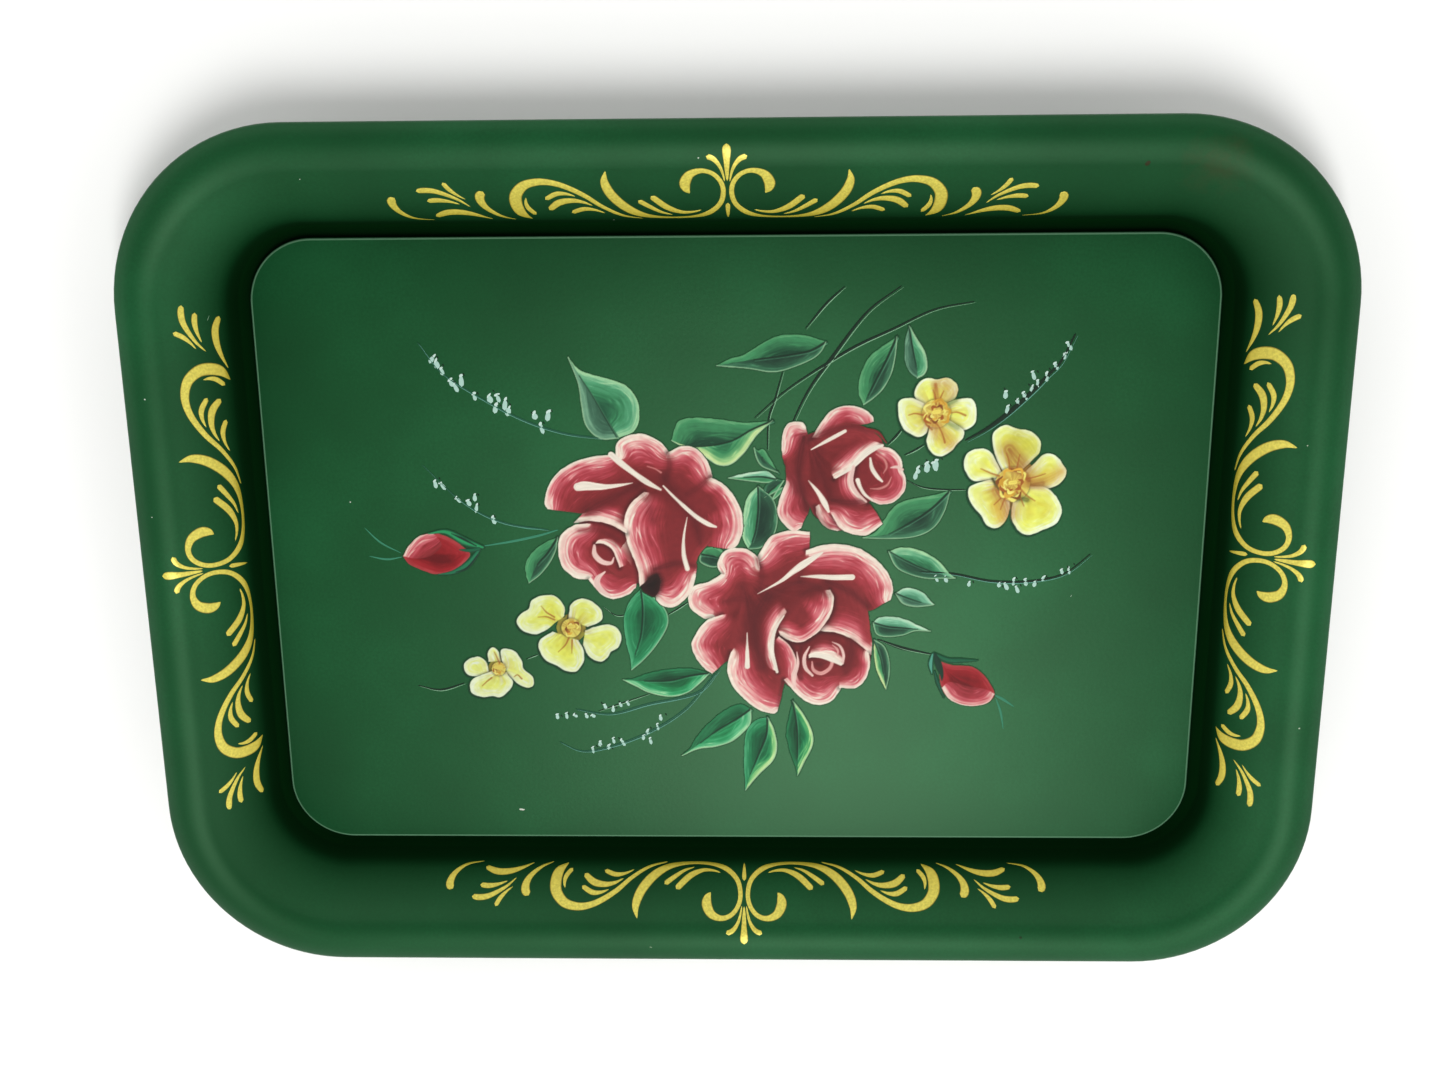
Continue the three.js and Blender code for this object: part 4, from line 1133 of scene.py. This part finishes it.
goldTone = {
    # low is the gold's colour in the painted shade low on the wall
    "body": "#ded262", "flank": "#6f6018", "low": "#a39122", "powderSize": 0.9,
    "roughness": 0.42, "metallic": 0.25, "swell": 1.18, "gutterShift": -0.9,
}


def goldMaterial():
    # Bronze powder in varnish: a warm yellow gold, more paint than metal, browner at each flank of a
    # stroke where the varnish pools, with the powder's sparkle drawn coarse enough to show, and darkened
    # by painted shade low on the wall, where the gutter's painted shade reaches it
    material, tree = newMaterial("bronze_powder_gold_paint")
    place = addNode(tree, "ShaderNodeTexCoord").outputs["Object"]
    over = addNode(tree, "ShaderNodeAttribute", attribute_name="over")
    flank = addNode(tree, "ShaderNodeMath", links={0: over.outputs["Fac"]}, operation="ABSOLUTE")
    tone = addNode(tree, "ShaderNodeValToRGB", links={"Fac": flank.outputs[0]})
    setRamp(tone, [(0.0, goldTone["body"]), (0.78, goldTone["body"]), (0.97, goldTone["flank"])])
    powder = addNode(tree, "ShaderNodeTexNoise", {"Scale": scaleFor(goldTone["powderSize"]), "Detail": 3.0},
                     {"Vector": place})
    speckle = addNode(tree, "ShaderNodeValToRGB", links={"Fac": powder.outputs["Fac"]})
    setRamp(speckle, [(0.35, "#e2e2e2"), (0.65, "#ffffff")])
    dusted = addNode(tree, "ShaderNodeMix", {mixFactor: 1.0},
                     {mixFirst: tone.outputs["Color"], mixSecond: speckle.outputs["Color"]},
                     data_type="RGBA", blend_type="MULTIPLY")
    # Painted shade: the gold darkens towards the low colour where the gutter's shade reaches up the wall
    gutterShade = addNode(tree, "ShaderNodeAttribute", attribute_name="gutterShade")
    dimmed = addNode(tree, "ShaderNodeMix", {mixSecond: rgba(goldTone["low"])},
                     {mixFactor: gutterShade.outputs["Fac"], mixFirst: dusted.outputs[mixColour]}, data_type="RGBA")
    shader = addNode(tree, "ShaderNodeBsdfPrincipled",
                     {"Roughness": goldTone["roughness"], "Metallic": goldTone["metallic"]},
                     {"Base Color": dimmed.outputs[mixColour], "Normal": enamelPeel(tree, place)})
    finishMaterial(tree, shader)
    return material


def paintScrolls(name, motif, material):
    # The motif's distances were laid out over the CAD's flat land, which is a little longer than the
    # rounder gutter here, so they shift inwards by the difference
    swell, inwards = goldTone["swell"], goldTone["gutterShift"]
    strokes = [[(s + motif["centre"], d + inwards, w * swell) for s, d, w in stroke] for stroke in palmette]
    stretch = motif.get("stretch", (0, 0))  # of what lies beyond 75, to the right and to the left
    for key, stroke in scrolls.items():
        if not motif["long"] and key in ("tallComma", "endComma"):
            continue
        shiftS, shiftD = (0, 0) if motif["long"] else shortSideShift.get(key, (0, 0))
        for hand, more in zip((1, -1), stretch):
            strokes.append([(hand * (s + shiftS + more * max(s - 75, 0)) + motif["centre"],
                             d + shiftD + inwards, w * swell) for s, d, w in stroke])
    pullStrokes(name, [(stroke, goldTone["body"]) for stroke in strokes], onRim(motif["side"]), 0, material,
                "gold_paint")


# Stems are a dark line with a pale one on its right; each is its points and its greatest width
stemDark, stemTeal, stemPale, sprigBlue = "#14301f", "#28624a", "#8fbb98", "#b4d6c9"
stems = (
    (((42, 102), (35, 95.5), (27, 86)), 0.9), (((63, 102), (50, 92), (37, 75), (28, 62), (20, 45)), 1.3),
    (((90, 96), (75, 93), (60, 86), (47, 80), (35, 73), (20, 63), (8, 52.5)), 1.1),
    (((19, 71), (16, 60), (13.5, 52), (13, 40)), 0.9), (((58.5, 42), (62, 45.5), (64.5, 49)), 0.9),
    (((65, 38), (69, 39.8), (73, 42.4)), 0.8), (((66, 28.5), (72, 25.5), (80, 24.5), (89, 24.5)), 0.9),
    (((83, 24), (80, 16), (75, 9)), 0.4), (((56, -35.6), (66, -39.4), (78, -42)), 1.5),
    (((-83, -44), (-80, -42.8), (-78, -42)), 0.5), (((-127, -55), (-118, -57), (-108, -54)), 1.0),
    (((-38, -24), (-46, -26), (-52, -22)), 0.6), (((-27, -26), (-22, -23), (-17, -19.5)), 0.6),
    (((-34, -58.5), (-45, -62.5), (-55, -66)), 0.6),
)
paleStems = (
    (((-68, 9), (-76, 6.6), (-86, 4.4), (-98, 2.4)), 1.3), (((-72, 9), (-80, 9.6), (-90, 11.5)), 0.8),
    (((-144, 10), (-138, 4), (-130, -0.4)), 0.8), (((-143, -1.5), (-136, -2.8), (-129.5, -1.8)), 0.9),
    (((102, -58.6), (106, -60.6), (111, -64)), 1.2), (((103.4, -60), (105.6, -66), (107, -73.5)), 1.0),
)
# Sprigs: the stem's points, width and colour, and how wide and where its little blue-white flowers are
sprigs = (
    (((-119, 82), (-110, 70), (-95, 60), (-80, 52), (-65, 47), (-50, 45)), 1.1, stemTeal, 2.5,
     ((-114, 75.5), (-112, 73), (-109.6, 71), (-107, 66.5), (-105.4, 64.5), (-103, 67), (-98, 61),
      (-92.5, 60), (-90.5, 56.5), (-89, 60.5), (-87, 58), (-85, 55.5), (-75.6, 53.6), (-72.6, 48.6),
      (-70.4, 53.4))),
    (((-120, 35), (-105, 20), (-90, 12), (-72, 9)), 0.9, stemTeal, 2.0,
     ((-115, 27), (-112.6, 26.4), (-106.5, 20.5), (-103, 19.5), (-100, 21.5), (-99.6, 17.4), (-93, 13))),
    (((128, 84), (123, 73.5), (118, 68), (113, 62.5), (104, 54), (96, 48), (88, 43.5)), 1.9, stemDark, 2.0,
     ((103, 60.6), (104, 55.6), (107.6, 58), (110.2, 60.2), (112.6, 63), (114.8, 65), (113, 68.4), (118, 68),
      (121, 71.8), (123.6, 75.6), (125.6, 79))),
    (((138, -1), (128, -9), (115, -12), (100, -12), (85, -9), (72, -8)), 1.2, stemDark, 1.8,
     ((78.8, -11.2), (82.8, -11.6), (91.4, -13.6), (103, -13.6), (106, -14.4), (108.6, -12.6),
      (110.4, -15.6), (113, -13.2), (117, -13.4), (120, -11.4), (127, -8.6), (129.4, -8))),
    (((-64, -65), (-50, -67), (-35, -63), (-15, -58), (-6, -48)), 1.0, stemTeal, 1.6,
     ((-71, -68), (-67.6, -68), (-63.4, -67.6), (-59.8, -68), (-56.8, -68.2), (-52, -64.5), (-48.4, -65.4),
      (-45.6, -63.2), (-43, -62.4))),
    (((-71, -79), (-62, -83), (-50, -81), (-35, -75), (-20, -65), (-8, -50)), 0.9, stemTeal, 1.8,
     ((-57, -83), (-54.4, -80), (-51, -81.6), (-48.6, -78.6), (-45, -79.6), (-37, -77.6), (-35, -75.4),
      (-34, -79), (-31.4, -73), (-30, -69.4))),
    ((), 0, stemDark, 2.3, ((70, 30.4), (70.6, 32), (73.8, 32.4), (74.2, 33.6), (77, 33.4), (77.4, 34.4))),
)


def taper(points, width, swell=0.5):
    # A line that starts and ends fine and is widest where the brush is pressed
    t = np.linspace(0, 1, len(points))
    press = np.interp(t, [0, swell, 1], [0.35, 1.0, 0.35])
    return [(x, y, width * p) for (x, y), p in zip(points, press)]


def paintStems(material):
    strokes = []
    for points, width in stems:
        strokes.append((taper(points, width), stemDark))
        pale = np.array(points) + (0.62 * width, -0.4 * width)
        strokes.append((taper(pale, 0.38), stemPale))
    strokes += [(taper(points, width), "#3f8a6c") for points, width in paleStems]
    pullStrokes("stems", strokes, onPanel, 0, material, "flower_paint")


def paintSprigs(material):
    # Each little flower is a wet dab and a shorter one hooked across its top, with a dark fleck beside
    draws = np.random.default_rng(77)
    strokes = []
    for stem, stemWidth, stemColour, dabWidth, flowers in sprigs:
        if stem:
            strokes.append((taper(stem, stemWidth, 0.7), stemColour))
            aside = 0.25 + 0.3 * stemWidth
            strokes.append((taper(np.array(stem) + (aside, -aside), 0.42), "#6ca594"))
        for flower in flowers:
            centre = np.array(flower) + draws.normal(0, 0.25, 2)
            for lean, reach, width, colour in ((-0.2, 1.5, 0.9, sprigBlue), (0.8, 0.9, 0.5, "#cfe6dc")):
                lean = lean + draws.normal(0, 0.3)
                reach = reach * dabWidth * draws.uniform(0.7, 1.2)
                width = width * dabWidth * draws.uniform(0.7, 1.15)
                half = reach / 2 * np.array([np.sin(lean), np.cos(lean)])
                start, end = centre - half, centre + half
                strokes.append(([(*start, width * 0.8), (*centre, width), (*end, width * 0.5)], colour))
                centre = end
            fleck = centre + draws.normal(0, 0.8, 2)
            strokes.append(([(*fleck, 0.5), (*(fleck + (0.6, -0.9)), 0.4)], stemDark))
    pullStrokes("blue_sprigs", strokes, onPanel, 1, material, "flower_paint")


# Chips and nicks from use: (side, or the panel, and the place, reach and width), with its colour
nicks = (
    ("back", (144.0, 41.0), (1.0, 2.2), 2.0, "#3b3a1e"),
    ("panel", (-88.5, -108.6), (2.4, -0.3), 0.9, "#d8dcd0"),
    ("panel", (-149.0, 20.0), (0.5, 0.4), 0.7, "#cfd6c8"),
    ("panel", (131.0, -18.5), (0.4, 0.9), 0.4, "#9db8a0"),
    ("back", (-11.0, 45.5), (0.4, 0.5), 0.7, "#cdd8c8"), ("back", (-43.0, 14.0), (0.4, 0.5), 0.6, "#cdd8c8"),
    ("back", (-152.0, 38.0), (0.3, 0.4), 0.5, "#cdd8c8"), ("left", (65.0, 50.0), (0.4, 0.5), 0.7, "#cdd8c8"),
    ("left", (21.0, 52.0), (0.3, 0.5), 0.5, "#cdd8c8"), ("left", (92.0, 25.0), (2.0, -1.0), 0.3, "#7f9f84"),
    ("front", (112.0, 47.0), (0.8, 0.8), 1.3, "#24401f"),
    ("right", (46.0, 44.0), (0.4, 0.4), 0.6, "#b9c8b2"),
    ("front", (-34.0, 52.0), (1.0, 0.3), 0.4, "#a3b89c"),
    ("right", (-62.0, 50.0), (0.5, 0.6), 0.6, "#b9c8b2"),
)


def nickEnamel(material):
    for side in ("panel", "back", "front", "left", "right"):
        strokes = [(((*start, width), (start[0] + reach[0], start[1] + reach[1], width * 0.7)), colour)
                   for where, start, reach, width, colour in nicks if where == side]
        place = onPanel if side == "panel" else onRim(side)
        pullStrokes(f"nicks_{side}", strokes, place, 0, material, "flower_paint")


gold = goldMaterial()
for name, motif in motifs.items():
    paintScrolls(name, motif, gold)
paintStems(flowerPaint)
paintSprigs(flowerPaint)
nickEnamel(flowerPaint)
print("scrolls, stems, sprigs and nicks painted")


# Camera, light and floor
stage = {
    "eye": (11.5, 149.7, 567.4), "aim": (-4.4, 3.9, 3.4), "roll": -0.52, "lens": 37.4,
    "keyPlace": (85, -500, 1190), "keySize": (260, 800), "keyPower": 8.5,
    "fillPlace": (-150, 1000, 1300), "fillSize": (1400, 1400), "fillPower": 2.4,
    "sky": ((0.0, 0.42), (0.14, 0.42), (0.32, 1.0), (0.58, 1.0), (0.72, 0.21), (1.0, 0.1)),  # by height
    "skyStrength": 1.5, "floor": "#f6f6f4", "floorReach": 3000.0,
}


def makeCamera():
    data = bpy.data.cameras.new("camera")
    data.sensor_width, data.lens = 36.0, stage["lens"]
    data.clip_start, data.clip_end = 0.01, 50.0
    camera = bpy.data.objects.new("camera", data)
    eye, aim = Vector(stage["eye"]) * mm, Vector(stage["aim"]) * mm
    back = (eye - aim).normalized()
    right = Vector((0, 1, 0)).cross(back).normalized()
    turn = Matrix((right, back.cross(right), back)).transposed().to_4x4()
    camera.matrix_world = Matrix.Translation(eye) @ turn @ Matrix.Rotation(np.radians(stage["roll"]), 4, "Z")
    bpy.context.scene.collection.objects.link(camera)
    bpy.context.scene.camera = camera


def makeSoftbox(name, place, size, power, mirrored=True):
    # An oval softbox, size across and along; one that isn't mirrored lights the tray without a glare
    data = bpy.data.lights.new(name, "AREA")
    data.shape, data.size, data.size_y, data.energy = "ELLIPSE", size[0] * mm, size[1] * mm, power
    light = bpy.data.objects.new(name, data)
    light.location = Vector(place) * mm
    light.visible_glossy = mirrored
    light.rotation_euler = (-light.location).to_track_quat("-Z", "Y").to_euler()
    bpy.context.scene.collection.objects.link(light)


def makeFloor():
    # A plain pale sheet of board that the tray stands on
    reach = stage["floorReach"] * mm
    material, tree = newMaterial("pale_board")
    finishMaterial(tree, addNode(tree, "ShaderNodeBsdfPrincipled",
                                 {"Roughness": 0.9, "Base Color": rgba(stage["floor"])}))
    mesh = bpy.data.meshes.new("floor")
    mesh.from_pydata([(x * reach, y * reach, 0.0) for x, y in ((-1, -1), (1, -1), (1, 1), (-1, 1))],
                     [], [(0, 1, 2, 3)])
    mesh.materials.append(material)
    floor = bpy.data.objects.new("floor", mesh)
    bpy.context.scene.collection.objects.link(floor)


def makeSky():
    # Grey walls all round, white from about 20 to 35 degrees up, under a dark ceiling
    world = bpy.data.worlds.new("studio")
    world.use_nodes = True
    tree = world.node_tree
    way = addNode(tree, "ShaderNodeTexCoord").outputs["Generated"]
    height = addNode(tree, "ShaderNodeSeparateXYZ", links={"Vector": way})
    glow = addNode(tree, "ShaderNodeValToRGB", links={"Fac": height.outputs["Z"]})
    setRamp(glow, [(place, "#" + f"{round(255 * level):02x}" * 3) for place, level in stage["sky"]])
    tree.links.new(glow.outputs["Color"], tree.nodes["Background"].inputs["Color"])
    tree.nodes["Background"].inputs["Strength"].default_value = stage["skyStrength"]
    bpy.context.scene.world = world


makeCamera()
makeSoftbox("key_softbox", stage["keyPlace"], stage["keySize"], stage["keyPower"])
makeSoftbox("fill_softbox", stage["fillPlace"], stage["fillSize"], stage["fillPower"], mirrored=False)
makeFloor()
makeSky()
bpy.context.scene.view_settings.view_transform = "Standard"
bpy.context.scene.view_settings.look = "Medium High Contrast"
print("stage set")
